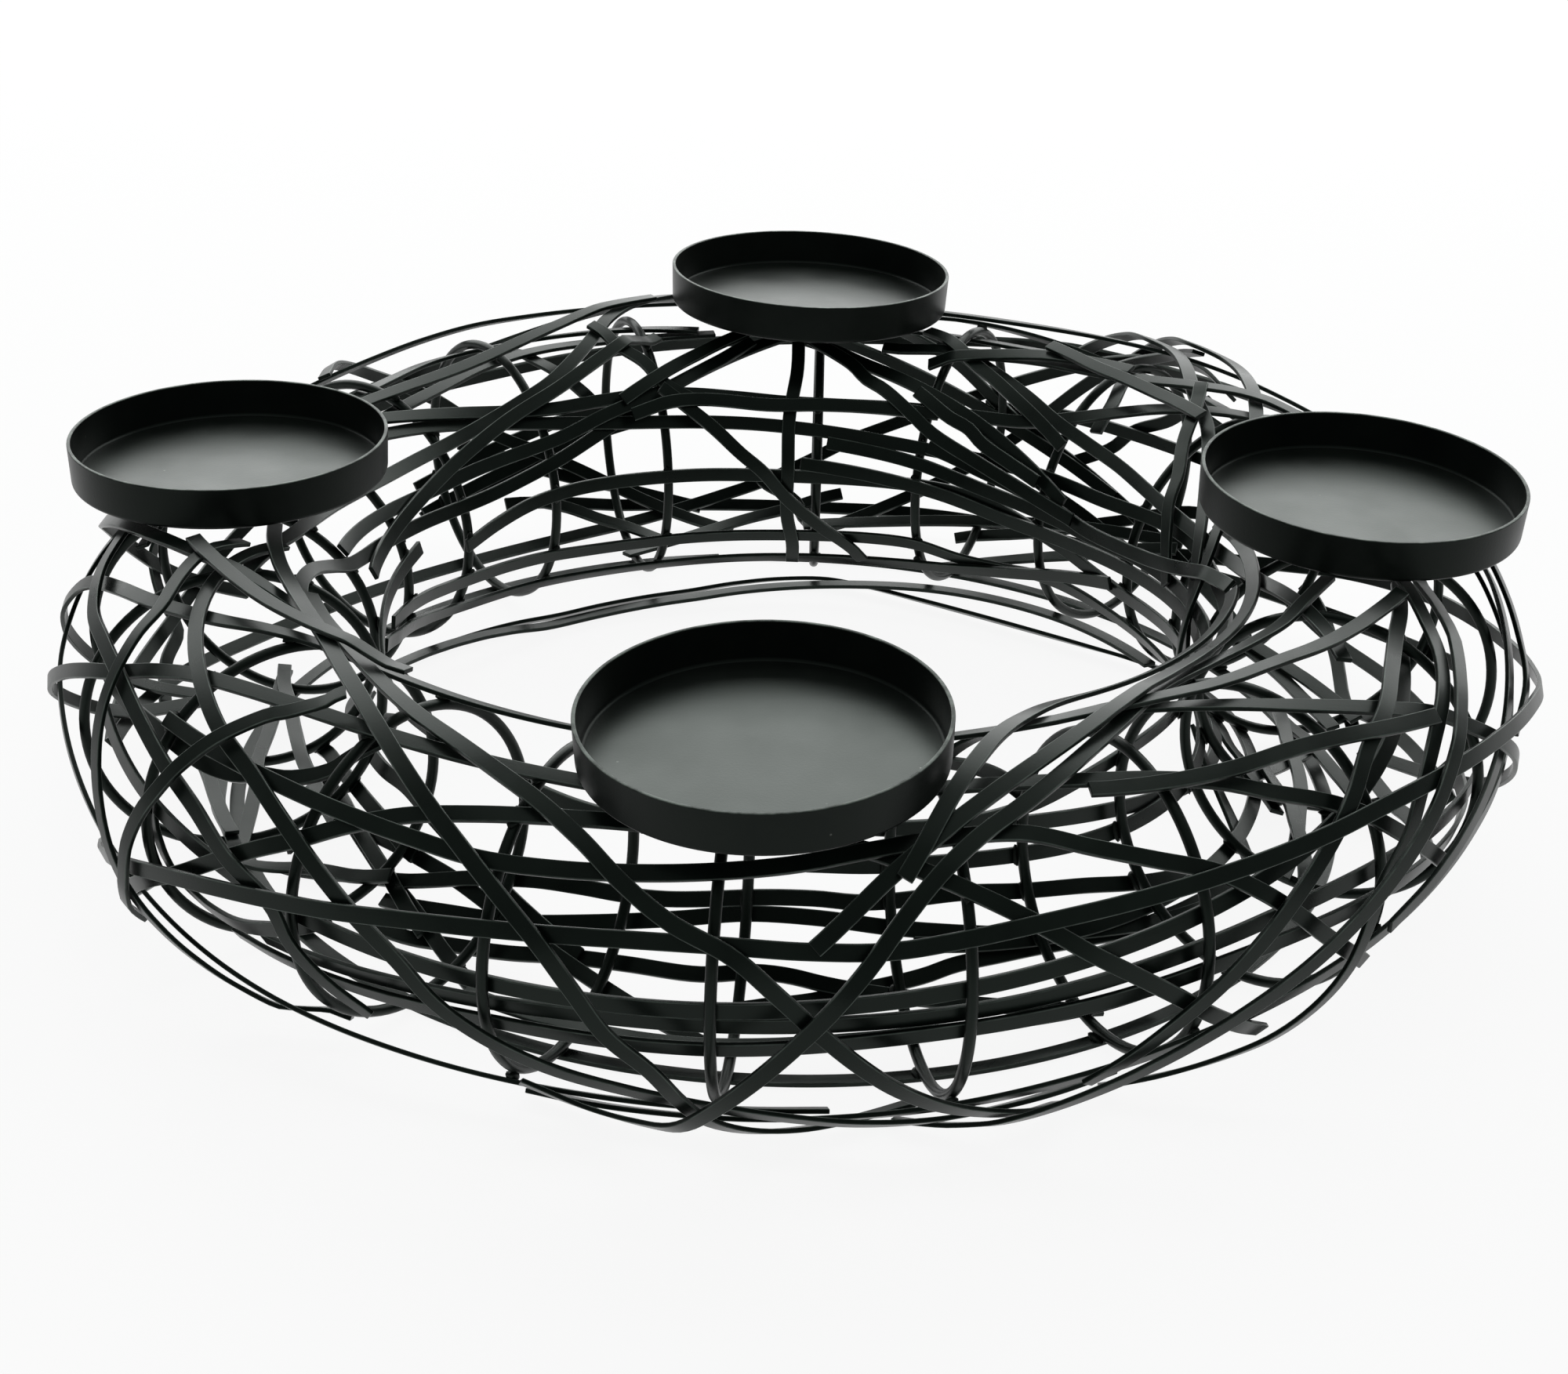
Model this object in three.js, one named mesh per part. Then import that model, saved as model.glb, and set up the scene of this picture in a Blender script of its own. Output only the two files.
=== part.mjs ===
import * as THREE from 'three';

// Metal advent wreath: a ring of round wire hoops with flat steel strips
// wound over and under them, and four shallow candle plates on top.
// Millimetres and degrees, +Z up.

// Driving dimensions of the hoop frame.
const RING_RADIUS = 150;
const HOOP_RADIUS = 38.7;
const HOOP_WIRE = 2.8;
const HOOP_FACETS = 20;
const WIRE_SIDES = 6;

// Driving dimensions of the flat strips.
const STRIP_WIDTH = 4;
const STRIP_THICKNESS = 1.2;
const STRIP_SAG = 0.25;
const STRIP_LONGEST_STEP = 18;
const STRIP_FLEX = 0.06;
const KINKED_FLEX = 1.2;
const ROUTE_SAMPLES = 20;

// Clearances between welded neighbours.
const WELD_GAP = 0.3;
const SIDE_CLEARANCE = 0.8;

// Driving dimensions of the candle plates and their pegs.
const PLATE_RIM_DIAMETER = 85;
const PLATE_BASE_DIAMETER = 84;
const PLATE_HEIGHT = 11.2;
const PLATE_SHEET = 1;
const PLATE_FACETS = 40;
const PEG_DIAMETER = 6;
const PEG_FACETS = 8;
const LAYERS_UNDER_PLATE = 3;

// Colours and finishes, from the photograph.
const STEEL_BLACK = 0x2b2f2d;
const PLATE_BLACK = 0x1f2220;
const PEG_BLACK = 0x191b1a;
const WIRE_ROUGHNESS = 0.4;
const STRIP_ROUGHNESS = 0.45;
const PLATE_ROUGHNESS = 0.5;
const PEG_ROUGHNESS = 0.6;
const PAINT_METALNESS = 0.35;

// Strips lie outside the hoops or inside them.
const OUTSIDE = 1;
const INSIDE = -1;

// Values worked out from the driving dimensions.
const HOOP_OUTER = HOOP_RADIUS + HOOP_WIRE / 2;
const HOOP_INNER = HOOP_RADIUS * Math.cos(Math.PI / HOOP_FACETS) - HOOP_WIRE / 2;
const LAYER_PITCH = STRIP_THICKNESS + WELD_GAP + STRIP_SAG;
const PLATE_SEAT = HOOP_OUTER + LAYERS_UNDER_PLATE * LAYER_PITCH;
const FIRST_LAYER = WELD_GAP + STRIP_THICKNESS / 2;
const LIFT_UNIT = STRIP_WIDTH / 4;

// The layer map holds, for cells all over the tube, how high the strips
// already laid there reach above the hoops.
const MAP_RING_CELLS = 900;
const MAP_TUBE_CELLS = 240;
const WALK_STEP = 0.9;
const ACROSS_STEPS = 8;
const SETTLING_ROUNDS = 30;

// Hoops: the ring angle where each stands, and how far it is turned about its
// own upright. They are set by hand, so neither is quite even.
const HOOPS = [
  { angle: -3, turn: 2 },
  { angle: 14.5, turn: 0 },
  { angle: 32, turn: 4 },
  { angle: 50.5, turn: 1 },
  { angle: 71, turn: -2 },
  { angle: 88.5, turn: 3 },
  { angle: 110.5, turn: -1 },
  { angle: 129, turn: -3 },
  { angle: 147, turn: -3 },
  { angle: 165, turn: 0 },
  { angle: 183, turn: -3 },
  { angle: 200, turn: 0 },
  { angle: 218, turn: -3 },
  { angle: 236, turn: -3 },
  { angle: 252, turn: -3 },
  { angle: 267.5, turn: -1 },
  { angle: 285, turn: -1 },
  { angle: 303, turn: -2 },
  { angle: 320.5, turn: -2 },
  { angle: 339.5, turn: -5 },
];

// Candle plates: where each stands on the ring, the hoop that carries it, and
// how far it leans outward and sideways.
const PLATES = [
  { name: 'right', angle: 0, hoop: 1, outward: 2, sideways: -1 },
  { name: 'rear', angle: 90, hoop: 6, outward: 3, sideways: -1.5 },
  { name: 'left', angle: 180, hoop: 11, outward: 1, sideways: -1.5 },
  { name: 'front', angle: 270, hoop: 16, outward: 3.5, sideways: -1.5 },
];

// Each strip follows points given as [ring angle, tube angle, lift]. The ring
// angle runs anticlockwise from the right plate, and the tube angle is 0 at the
// outside of the ring and 90 on top. The lift is what the strip stands clear of
// the hoops where nothing else lies beneath, in quarters of its own width. A
// strip flexes evenly, unless it is kinked where it is welded to a hoop. The
// strips are in the order of winding.
const STRIPS = [
  {
    name: 'inside_band_lower',
    side: INSIDE,
    route: [[-135, -36], [-121, -27], [-108, -20], [-100, -19], [-92, -17], [-79, -10],
      [-66, -6], [-52, -2], [-38, -6], [-22, -16], [-8, -30]],
  },
  {
    name: 'inside_band_middle',
    side: INSIDE,
    route: [[-131, -29], [-117, -18], [-110, -14], [-102, -10], [-93, -8], [-85, -6],
      [-72, -2], [-60, 4], [-46, 8], [-30, 4], [-12, -6]],
  },
  {
    name: 'foot_ring',
    side: OUTSIDE,
    route: [[-260, -90], [-240, -90], [-220, -90], [-200, -90], [-180, -90], [-160, -90],
      [-140, -90], [-120, -90], [-100, -90], [-80, -90], [-60, -90], [-40, -90], [-20, -90],
      [0, -90], [20, -90], [40, -90], [60, -90], [80, -90], [94, -90]],
  },
  {
    name: 'left_outline_band',
    side: OUTSIDE,
    route: [[168, 76], [176, 66], [181, 53], [183, 40], [185, 29, 0.5], [188, 19, 2], [193, 9, 3],
      [199, 0, 2], [206, -10, 1], [212, -24, 2], [220, -35, 3], [231, -45, 3], [241, -50, 2],
      [252, -55, 1], [264, -60], [276, -64]],
  },
  {
    name: 'right_outline_band',
    side: OUTSIDE,
    route: [[16, 64], [9, 48], [4, 35, 2], [0, 26, 2], [-5, 16, 2], [-11, 6, 1], [-16, 0],
      [-24, -4], [-31, -9], [-38, -14], [-45, -19], [-54, -25], [-66, -36], [-80, -50],
      [-94, -58], [-108, -64]],
  },
  {
    name: 'shelf_arc',
    side: OUTSIDE,
    route: [[-188, -62], [-180, -42], [-173, -18], [-166, 5], [-159, 24], [-152, 39],
      [-144, 57], [-134, 68], [-124, 73], [-112, 75], [-98, 75], [-84, 77], [-74, 79],
      [-64, 74], [-55, 64], [-50, 53], [-43, 37], [-39, 23], [-32, -2]],
  },
  {
    name: 'rear_crown_sweep',
    side: OUTSIDE,
    route: [[208, 110], [199, 120], [185, 144], [172, 153], [158, 159], [144, 162], [131, 158],
      [119, 147], [110, 135], [99, 119], [90, 104], [81, 86], [72, 66], [62, 46], [52, 27],
      [42, 8], [32, -12]],
  },
  {
    name: 'rear_crest_band',
    side: OUTSIDE,
    route: [[168, 12], [158, 30], [150, 40], [139, 48, 2], [127, 58, 3.5], [116, 67, 2],
      [105, 74], [92, 77], [78, 78], [65, 77, 1], [53, 69, 3], [47, 66, 4], [40, 63, 4],
      [30, 58, 3], [18, 48, 1], [4, 36], [-12, 24], [-26, 8], [-40, -10]],
  },
  {
    name: 'inner_ring_high',
    side: OUTSIDE,
    route: [[150, 178], [133, 171], [111, 172], [91, 174], [74, 173], [62, 173], [48, 180],
      [32, 188], [12, 184], [-10, 178], [-35, 172], [-60, 178], [-85, 174], [-110, 178],
      [-135, 174], [-160, 178], [-182, 170], [-198, 166]],
  },
  {
    name: 'inner_ring_middle',
    side: OUTSIDE,
    route: [[176, 182], [162, 188], [150, 194], [133, 199], [120, 203], [102, 204], [91, 204],
      [71, 202], [62, 206], [48, 201], [30, 205], [10, 208], [-15, 206], [-40, 200],
      [-64, 192], [-85, 188]],
  },
  {
    name: 'hole_edge_chord',
    side: OUTSIDE,
    flex: KINKED_FLEX,
    route: [[180, 222], [168, 236, 1], [154, 243, 3], [146, 241, 4], [136, 236, 6], [126, 232, 8.5],
      [117, 233, 8], [108, 234, 7.5], [99, 238, 5], [87, 244, 2.5], [79, 239, 4.5], [69, 235, 7],
      [56, 234, 7.5], [44, 238, 5], [34, 246, 1.5], [22, 248], [8, 244], [-10, 238], [-30, 232],
      [-52, 226], [-72, 218]],
  },
  {
    name: 'long_crossing_strip',
    side: OUTSIDE,
    route: [[160, 116], [146, 128], [132, 140], [119, 147], [97, 152], [88, 154], [71, 157],
      [51, 156], [39, 156], [18, 149], [2, 148], [-18, 139], [-32, 128], [-46, 116],
      [-58, 104]],
  },
  {
    name: 'rear_inner_band',
    side: OUTSIDE,
    route: [[190, 60], [178, 80], [166, 99], [154, 115], [142, 128], [129, 137], [110, 138],
      [91, 143], [73, 141], [57, 137], [48, 126], [38, 107], [31, 94], [21, 78], [12, 62],
      [3, 45], [-6, 28], [-14, 8]],
  },
  {
    name: 'left_inner_sweep',
    side: OUTSIDE,
    route: [[204, 92], [196, 106], [188, 118], [176, 128], [163, 135], [147, 137], [137, 134],
      [128, 128], [120, 114], [113, 92], [106, 74], [98, 54], [90, 34], [80, 14], [70, -6],
      [58, -28]],
  },
  {
    name: 'right_inner_sweep',
    side: OUTSIDE,
    route: [[73, 104], [68, 112], [62, 121], [50, 135], [40, 140], [26, 145], [14, 144],
      [2, 138], [-8, 128], [-16, 114], [-24, 96], [-30, 78]],
  },
  {
    name: 'front_low_arc',
    side: OUTSIDE,
    route: [[-152, -50], [-146, -30], [-141, -14], [-135, 1], [-129, 18], [-123, 33], [-118, 46],
      [-113, 53], [-108, 58], [-98, 62], [-90, 61], [-82, 56], [-78, 48], [-72, 33],
      [-66, 14], [-62, 2], [-58, -12], [-51, -34]],
  },
  {
    name: 'front_wave',
    side: OUTSIDE,
    route: [[-143, 41], [-130, 43], [-116, 42], [-110, 41], [-100, 44], [-88, 50], [-78, 57],
      [-71, 57], [-64, 46], [-57, 34], [-53, 22], [-47, -2], [-42, -20]],
  },
  {
    name: 'left_shoulder_loop',
    side: OUTSIDE,
    route: [[-190, -60], [-184, -35], [-179, -10], [-173, 17, 1], [-171, 31, 1], [-166, 46],
      [-157, 62], [-150, 75], [-141, 96], [-134, 104], [-122, 109], [-108, 115], [-96, 123],
      [-84, 132], [-72, 143], [-62, 158], [-54, 176]],
  },
  {
    name: 'left_outer_dive',
    side: OUTSIDE,
    route: [[-182, 66], [-175, 58], [-168, 50], [-162, 43], [-153, 42], [-147, 39], [-141, 33],
      [-134, 25], [-130, 17], [-126, 11], [-123, -7], [-118, -26]],
  },
  {
    name: 'left_crown_dive',
    side: OUTSIDE,
    route: [[-165, 112], [-158, 90], [-150, 72], [-141, 57], [-135, 48], [-130, 42], [-125, 33],
      [-119, 18], [-114, 4], [-111, -8], [-104, -24], [-94, -34], [-84, -44], [-72, -55],
      [-60, -66]],
  },
  {
    name: 'left_peg_sweep',
    side: OUTSIDE,
    route: [[-205, -40], [-198, -18], [-192, 5], [-186, 25], [-178, 44], [-170, 61], [-163, 75],
      [-157, 86], [-150, 100], [-146, 108]],
  },
  {
    name: 'rear_outer_cross_a',
    side: OUTSIDE,
    route: [[88, 62], [82, 42], [76, 22], [70, -3], [63, -18], [56, -32], [46, -50], [35, -66]],
  },
  {
    name: 'rear_outer_cross_b',
    side: OUTSIDE,
    route: [[46, 66], [52, 48], [60, 27], [70, -14], [76, -35], [85, -60], [89, -69]],
  },
  {
    name: 'rear_outer_cross_c',
    side: OUTSIDE,
    route: [[146, 60], [137, 36], [128, 12], [122, -9], [115, -27], [104, -57], [98, -69]],
  },
  {
    name: 'rear_outer_band',
    side: OUTSIDE,
    route: [[186, -40], [170, -48], [152, -60], [128, -65], [110, -59], [95, -42], [86, -22],
      [81, -12], [74, 2], [66, 18], [56, 34], [44, 44]],
  },
  {
    name: 'right_shelf_bow',
    side: OUTSIDE,
    route: [[-70, 158], [-66, 140], [-62, 120], [-57, 109], [-49, 92], [-41, 73], [-34, 57],
      [-29, 45], [-25, 31], [-19, 11], [-13, -10], [-6, -34], [4, -58], [9, -69]],
  },
  {
    name: 'right_outer_dive',
    side: OUTSIDE,
    route: [[-12, 76], [-26, 68], [-34, 57], [-41, 46], [-44, 37], [-48, 27], [-52, 16],
      [-55, 7], [-58, -2], [-62, -15], [-66, -35]],
  },
  {
    name: 'right_outer_curve',
    side: OUTSIDE,
    route: [[-10, 80], [-18, 67], [-23, 56], [-30, 44], [-35, 34], [-39, 21], [-43, 10],
      [-45, -9], [-47, -24], [-51, -38], [-56, -50], [-62, -62]],
  },
  {
    name: 'front_long_band',
    side: OUTSIDE,
    route: [[-153, -29], [-150, -23], [-141, -6], [-131, 6], [-118, 16],
      [-110, 21], [-95, 26], [-81, 25], [-72, 29], [-59, 32], [-48, 33], [-40, 33],
      [-29, 29], [-17, 21], [-7, 12], [5, 2], [18, -8], [30, -20], [42, -35],
      [53, -46]],
  },
  {
    name: 'front_left_sweep_inner',
    side: OUTSIDE,
    route: [[-150, 110], [-136, 101], [-121, 83], [-114, 74], [-105, 58], [-98, 38], [-93, 26],
      [-91, 23], [-87, 8], [-80, -21], [-76, -34], [-70, -49], [-66, -59]],
  },
  {
    name: 'front_left_sweep_outer',
    side: OUTSIDE,
    route: [[-170, 109], [-151, 103], [-139, 96], [-129, 83], [-122, 70], [-114, 51],
      [-108, 35], [-103, 18], [-99, -3], [-96, -15], [-93, -37], [-88, -55, 1],
      [-81, -66, 0.5], [-76, -72]],
  },
  {
    name: 'front_right_sweep',
    side: OUTSIDE,
    route: [[-14, 100], [-21, 104], [-28, 105], [-37, 109], [-46, 107], [-57, 91], [-65, 75],
      [-71, 62], [-75, 53], [-79, 39], [-82, 24], [-86, 5], [-88, -4], [-93, -27],
      [-97, -43], [-102, -52], [-107, -44]],
  },
];

const radians = THREE.MathUtils.degToRad;
const degrees = THREE.MathUtils.radToDeg;

// A point of the tube, from its ring angle, tube angle and tube radius.
function tubePoint(ringAngle, tubeAngle, tubeRadius) {
  const ring = radians(ringAngle);
  const tube = radians(tubeAngle);
  const reach = RING_RADIUS + tubeRadius * Math.cos(tube);
  return new THREE.Vector3(reach * Math.cos(ring), reach * Math.sin(ring),
    tubeRadius * Math.sin(tube));
}

// The direction that faces straight out of the tube at a ring and tube angle.
function tubeNormal(ringAngle, tubeAngle) {
  const ring = radians(ringAngle);
  const tube = radians(tubeAngle);
  return new THREE.Vector3(Math.cos(tube) * Math.cos(ring), Math.cos(tube) * Math.sin(ring),
    Math.sin(tube));
}

// Where a point lies on the tube: the reverse of tubePoint.
function tubePlace(point) {
  const reach = Math.hypot(point.x, point.y) - RING_RADIUS;
  return {
    ringAngle: degrees(Math.atan2(point.y, point.x)),
    tubeAngle: degrees(Math.atan2(point.z, reach)),
    tubeRadius: Math.hypot(reach, point.z),
  };
}

// The tube radius at a height above the hoops, on either side of their wire.
function radiusAt(height, side) {
  return side === OUTSIDE ? HOOP_OUTER + height : HOOP_INNER - height;
}

// The height above the hoops at a tube radius: the reverse of radiusAt.
function heightAt(radius, side) {
  return side === OUTSIDE ? radius - HOOP_OUTER : HOOP_INNER - radius;
}

class LayerMap {
  constructor(side) {
    this.side = side;
    this.tops = new Float32Array(MAP_RING_CELLS * MAP_TUBE_CELLS);
  }

  cell(point) {
    const place = tubePlace(point);
    const ringShare = THREE.MathUtils.euclideanModulo(place.ringAngle, 360) / 360;
    const tubeShare = THREE.MathUtils.euclideanModulo(place.tubeAngle, 360) / 360;
    const ringCell = Math.floor(ringShare * MAP_RING_CELLS) % MAP_RING_CELLS;
    const tubeCell = Math.floor(tubeShare * MAP_TUBE_CELLS) % MAP_TUBE_CELLS;
    return ringCell * MAP_TUBE_CELLS + tubeCell;
  }

  // Calls visit(cell) for cells across a strip's width at one of its points.
  eachCellAcross(point, across, halfWidth, visit) {
    for (let i = 0; i <= ACROSS_STEPS; i += 1) {
      const offset = halfWidth * (2 * i / ACROSS_STEPS - 1);
      visit(this.cell(point.clone().addScaledVector(across, offset)));
    }
  }

  highest(point, across) {
    let top = 0;
    const halfWidth = STRIP_WIDTH / 2 + SIDE_CLEARANCE / 2;
    this.eachCellAcross(point, across, halfWidth, (cell) => {
      top = Math.max(top, this.tops[cell]);
    });
    return top;
  }

  stamp(point, across, top) {
    const halfWidth = STRIP_WIDTH / 2 + SIDE_CLEARANCE;
    this.eachCellAcross(point, across, halfWidth, (cell) => {
      this.tops[cell] = Math.max(this.tops[cell], top);
    });
  }
}

// Spreads stations along a route, closer where the strip bends more, so that
// the flat pieces between them stay within the sag.
function placeStations(route) {
  const turns = route.map(([ring, tube, lift = 0]) => new THREE.Vector3(ring, tube, lift));
  const curve = new THREE.CatmullRomCurve3(turns, false, 'centripetal');
  const fine = curve.getPoints((route.length - 1) * ROUTE_SAMPLES);
  const spent = [0];
  for (let i = 1; i < fine.length; i += 1) {
    const from = tubePoint(fine[i - 1].x, fine[i - 1].y, HOOP_OUTER);
    const to = tubePoint(fine[i].x, fine[i].y, HOOP_OUTER);
    const length = from.distanceTo(to);
    const aroundTube = radians(fine[i].y - fine[i - 1].y) * HOOP_OUTER / length;
    const share = Math.min(1, aroundTube ** 2);
    const reach = RING_RADIUS + HOOP_OUTER * Math.cos(radians(fine[i].y));
    const bend = share / HOOP_OUTER + (1 - share) / reach;
    const step = Math.min(STRIP_LONGEST_STEP, 2 * Math.sqrt(2 * STRIP_SAG / bend));
    spent.push(spent[i - 1] + length / step);
  }
  const total = spent[spent.length - 1];
  const count = Math.ceil(total);
  const stations = [];
  let next = 0;
  for (let i = 0; i <= count; i += 1) {
    const wanted = total * i / count;
    while (next < fine.length - 2 && spent[next + 1] < wanted) next += 1;
    const share = (wanted - spent[next]) / (spent[next + 1] - spent[next]);
    const turn = fine[next].clone().lerp(fine[next + 1], THREE.MathUtils.clamp(share, 0, 1));
    stations.push({ ring: turn.x, tube: turn.y, height: FIRST_LAYER + turn.z * LIFT_UNIT });
  }
  return stations;
}

// The direction across a strip between two of its stations.
function acrossBetween(from, to, station) {
  const along = to.clone().sub(from).normalize();
  return along.cross(tubeNormal(station.ring, station.tube)).normalize();
}

function stationPoint(station, side) {
  return tubePoint(station.ring, station.tube, radiusAt(station.height, side));
}

// Calls visit(point, across, share) at short steps between two stations.
function walkFacet(from, to, side, visit) {
  const start = stationPoint(from, side);
  const end = stationPoint(to, side);
  const across = acrossBetween(start, end, from);
  const steps = Math.ceil(start.distanceTo(end) / WALK_STEP);
  for (let i = 0; i <= steps; i += 1) {
    const share = i / steps;
    visit(start.clone().lerp(end, share), across, share);
  }
}

// Lifts a strip's stations until it clears what is laid beneath it and never
// dips below its neighbours by more than it can flex.
function settle(stations, map, { side, flex = STRIP_FLEX }) {
  for (let round = 0; round < SETTLING_ROUNDS; round += 1) {
    for (let i = 1; i < stations.length - 1; i += 1) {
      const line = (stations[i - 1].height + stations[i + 1].height) / 2;
      stations[i].height = Math.max(stations[i].height, line - flex);
    }
    for (let i = 1; i < stations.length; i += 1) {
      const from = stations[i - 1];
      const to = stations[i];
      const missing = [];
      walkFacet(from, to, side, (point, across, share) => {
        const wanted = map.highest(point, across) + FIRST_LAYER;
        const short = wanted - heightAt(tubePlace(point).tubeRadius, side);
        if (short > 0) missing.push({ short, share });
      });
      for (const { short, share } of missing) {
        const left = (1 - share) ** 2 + share ** 2;
        from.needed = Math.max(from.needed ?? 0, short * (1 - share) / left);
        to.needed = Math.max(to.needed ?? 0, short * share / left);
      }
    }
    for (const station of stations) {
      station.height += station.needed ?? 0;
      station.needed = 0;
    }
  }
}

function stampStrip(stations, map, side) {
  for (let i = 1; i < stations.length; i += 1) {
    walkFacet(stations[i - 1], stations[i], side, (point, across) => {
      const height = heightAt(tubePlace(point).tubeRadius, side);
      map.stamp(point, across, height + STRIP_THICKNESS / 2);
    });
  }
}

// The line along the middle of a laid strip, with the strip's own frames: its
// width lies along the tube's surface all the way.
class StripLine extends THREE.Curve {
  constructor(stations, side) {
    super();
    this.stations = stations;
    this.points = stations.map((station) => stationPoint(station, side));
  }

  getSpacedPoints() {
    return this.points;
  }

  computeFrenetFrames() {
    const tangents = [];
    const normals = [];
    const binormals = [];
    const last = this.points.length - 1;
    this.points.forEach((point, i) => {
      const before = this.points[Math.max(0, i - 1)];
      const after = this.points[Math.min(last, i + 1)];
      const along = after.clone().sub(before).normalize();
      const across = acrossBetween(before, after, this.stations[i]);
      tangents.push(along);
      normals.push(across);
      binormals.push(along.clone().cross(across).normalize());
    });
    return { tangents, normals, binormals };
  }
}

function stripSection() {
  const x = STRIP_WIDTH / 2;
  const y = STRIP_THICKNESS / 2;
  return new THREE.Shape([
    new THREE.Vector2(-x, -y),
    new THREE.Vector2(x, -y),
    new THREE.Vector2(x, y),
    new THREE.Vector2(-x, y),
  ]);
}

function makeStrip(strip, map) {
  const stations = placeStations(strip.route);
  settle(stations, map, strip);
  stampStrip(stations, map, strip.side);
  const line = new StripLine(stations, strip.side);
  const geometry = new THREE.ExtrudeGeometry(stripSection(), {
    steps: stations.length - 1,
    extrudePath: line,
    bevelEnabled: false,
  });
  const mesh = new THREE.Mesh(geometry, steel(STEEL_BLACK, STRIP_ROUGHNESS));
  mesh.name = `strip_${strip.name}`;
  return mesh;
}

function steel(color, roughness) {
  return new THREE.MeshStandardMaterial({ color, roughness, metalness: PAINT_METALNESS });
}

// A round wire hoop that stands across the ring.
function makeHoop({ angle, turn }, index) {
  const geometry = new THREE.TorusGeometry(HOOP_RADIUS, HOOP_WIRE / 2, WIRE_SIDES, HOOP_FACETS);
  geometry.rotateX(Math.PI / 2);
  const mesh = new THREE.Mesh(geometry, steel(STEEL_BLACK, WIRE_ROUGHNESS));
  mesh.name = `hoop_${String(index + 1).padStart(2, '0')}`;
  mesh.position.x = RING_RADIUS;
  mesh.rotation.z = radians(turn);
  const arm = new THREE.Group();
  arm.rotation.z = radians(angle);
  arm.add(mesh);
  return arm;
}

// A shallow pan of thin sheet, open at the top, standing on z = 0.
function makePlate(name) {
  const rim = PLATE_RIM_DIAMETER / 2;
  const base = PLATE_BASE_DIAMETER / 2;
  const profile = [
    new THREE.Vector2(0, 0),
    new THREE.Vector2(base, 0),
    new THREE.Vector2(rim, PLATE_HEIGHT),
    new THREE.Vector2(rim - PLATE_SHEET, PLATE_HEIGHT),
    new THREE.Vector2(base - PLATE_SHEET, PLATE_SHEET),
    new THREE.Vector2(0, PLATE_SHEET),
  ];
  const geometry = new THREE.LatheGeometry(profile, PLATE_FACETS);
  geometry.rotateX(Math.PI / 2);
  const mesh = new THREE.Mesh(geometry, steel(PLATE_BLACK, PLATE_ROUGHNESS));
  mesh.name = `candle_plate_${name}`;
  return mesh;
}

// The peg that stands on a hoop's crown and reaches up to the underside of a
// leaning plate.
function makePeg({ name, angle, hoop, outward, sideways }) {
  const radius = PEG_DIAMETER / 2;
  const offset = RING_RADIUS * Math.sin(radians(HOOPS[hoop - 1].angle - angle));
  const dip = radius * Math.tan(radians(Math.abs(outward)))
    + radius * Math.tan(radians(Math.abs(sideways)))
    + offset * Math.tan(radians(sideways));
  const height = PLATE_SEAT - HOOP_OUTER - 2 * WELD_GAP - dip;
  const geometry = new THREE.CylinderGeometry(radius, radius, height, PEG_FACETS);
  geometry.rotateX(Math.PI / 2);
  geometry.translate(0, offset, HOOP_OUTER + WELD_GAP + height / 2);
  const mesh = new THREE.Mesh(geometry, steel(PEG_BLACK, PEG_ROUGHNESS));
  mesh.name = `plate_peg_${name}`;
  mesh.position.x = RING_RADIUS;
  return mesh;
}

// A plate that leans about the middle of its underside, with its peg.
function makeCandleStand(plate) {
  const lean = new THREE.Group();
  lean.rotation.set(radians(-plate.sideways), radians(plate.outward), 0);
  lean.position.set(RING_RADIUS, 0, PLATE_SEAT);
  lean.add(makePlate(plate.name));
  const arm = new THREE.Group();
  arm.rotation.z = radians(plate.angle);
  arm.add(lean, makePeg(plate));
  return arm;
}

const wreath = new THREE.Group();
wreath.name = 'metal_advent_wreath';

HOOPS.forEach((hoop, index) => wreath.add(makeHoop(hoop, index)));

const maps = { [OUTSIDE]: new LayerMap(OUTSIDE), [INSIDE]: new LayerMap(INSIDE) };
for (const strip of STRIPS) {
  wreath.add(makeStrip(strip, maps[strip.side]));
}

for (const plate of PLATES) {
  wreath.add(makeCandleStand(plate));
}

// The wreath stands on z = 0 with the middle of its outline on the Z axis.
wreath.updateMatrixWorld(true);
const outline = new THREE.Box3().setFromObject(wreath, true);
const middle = outline.getCenter(new THREE.Vector3());
wreath.position.set(-middle.x, -middle.y, -outline.min.z);
wreath.updateMatrixWorld(true);

export default wreath;
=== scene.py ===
import math

import bmesh
import bpy
import numpy as np
from mathutils import Matrix, Vector, noise


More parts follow.
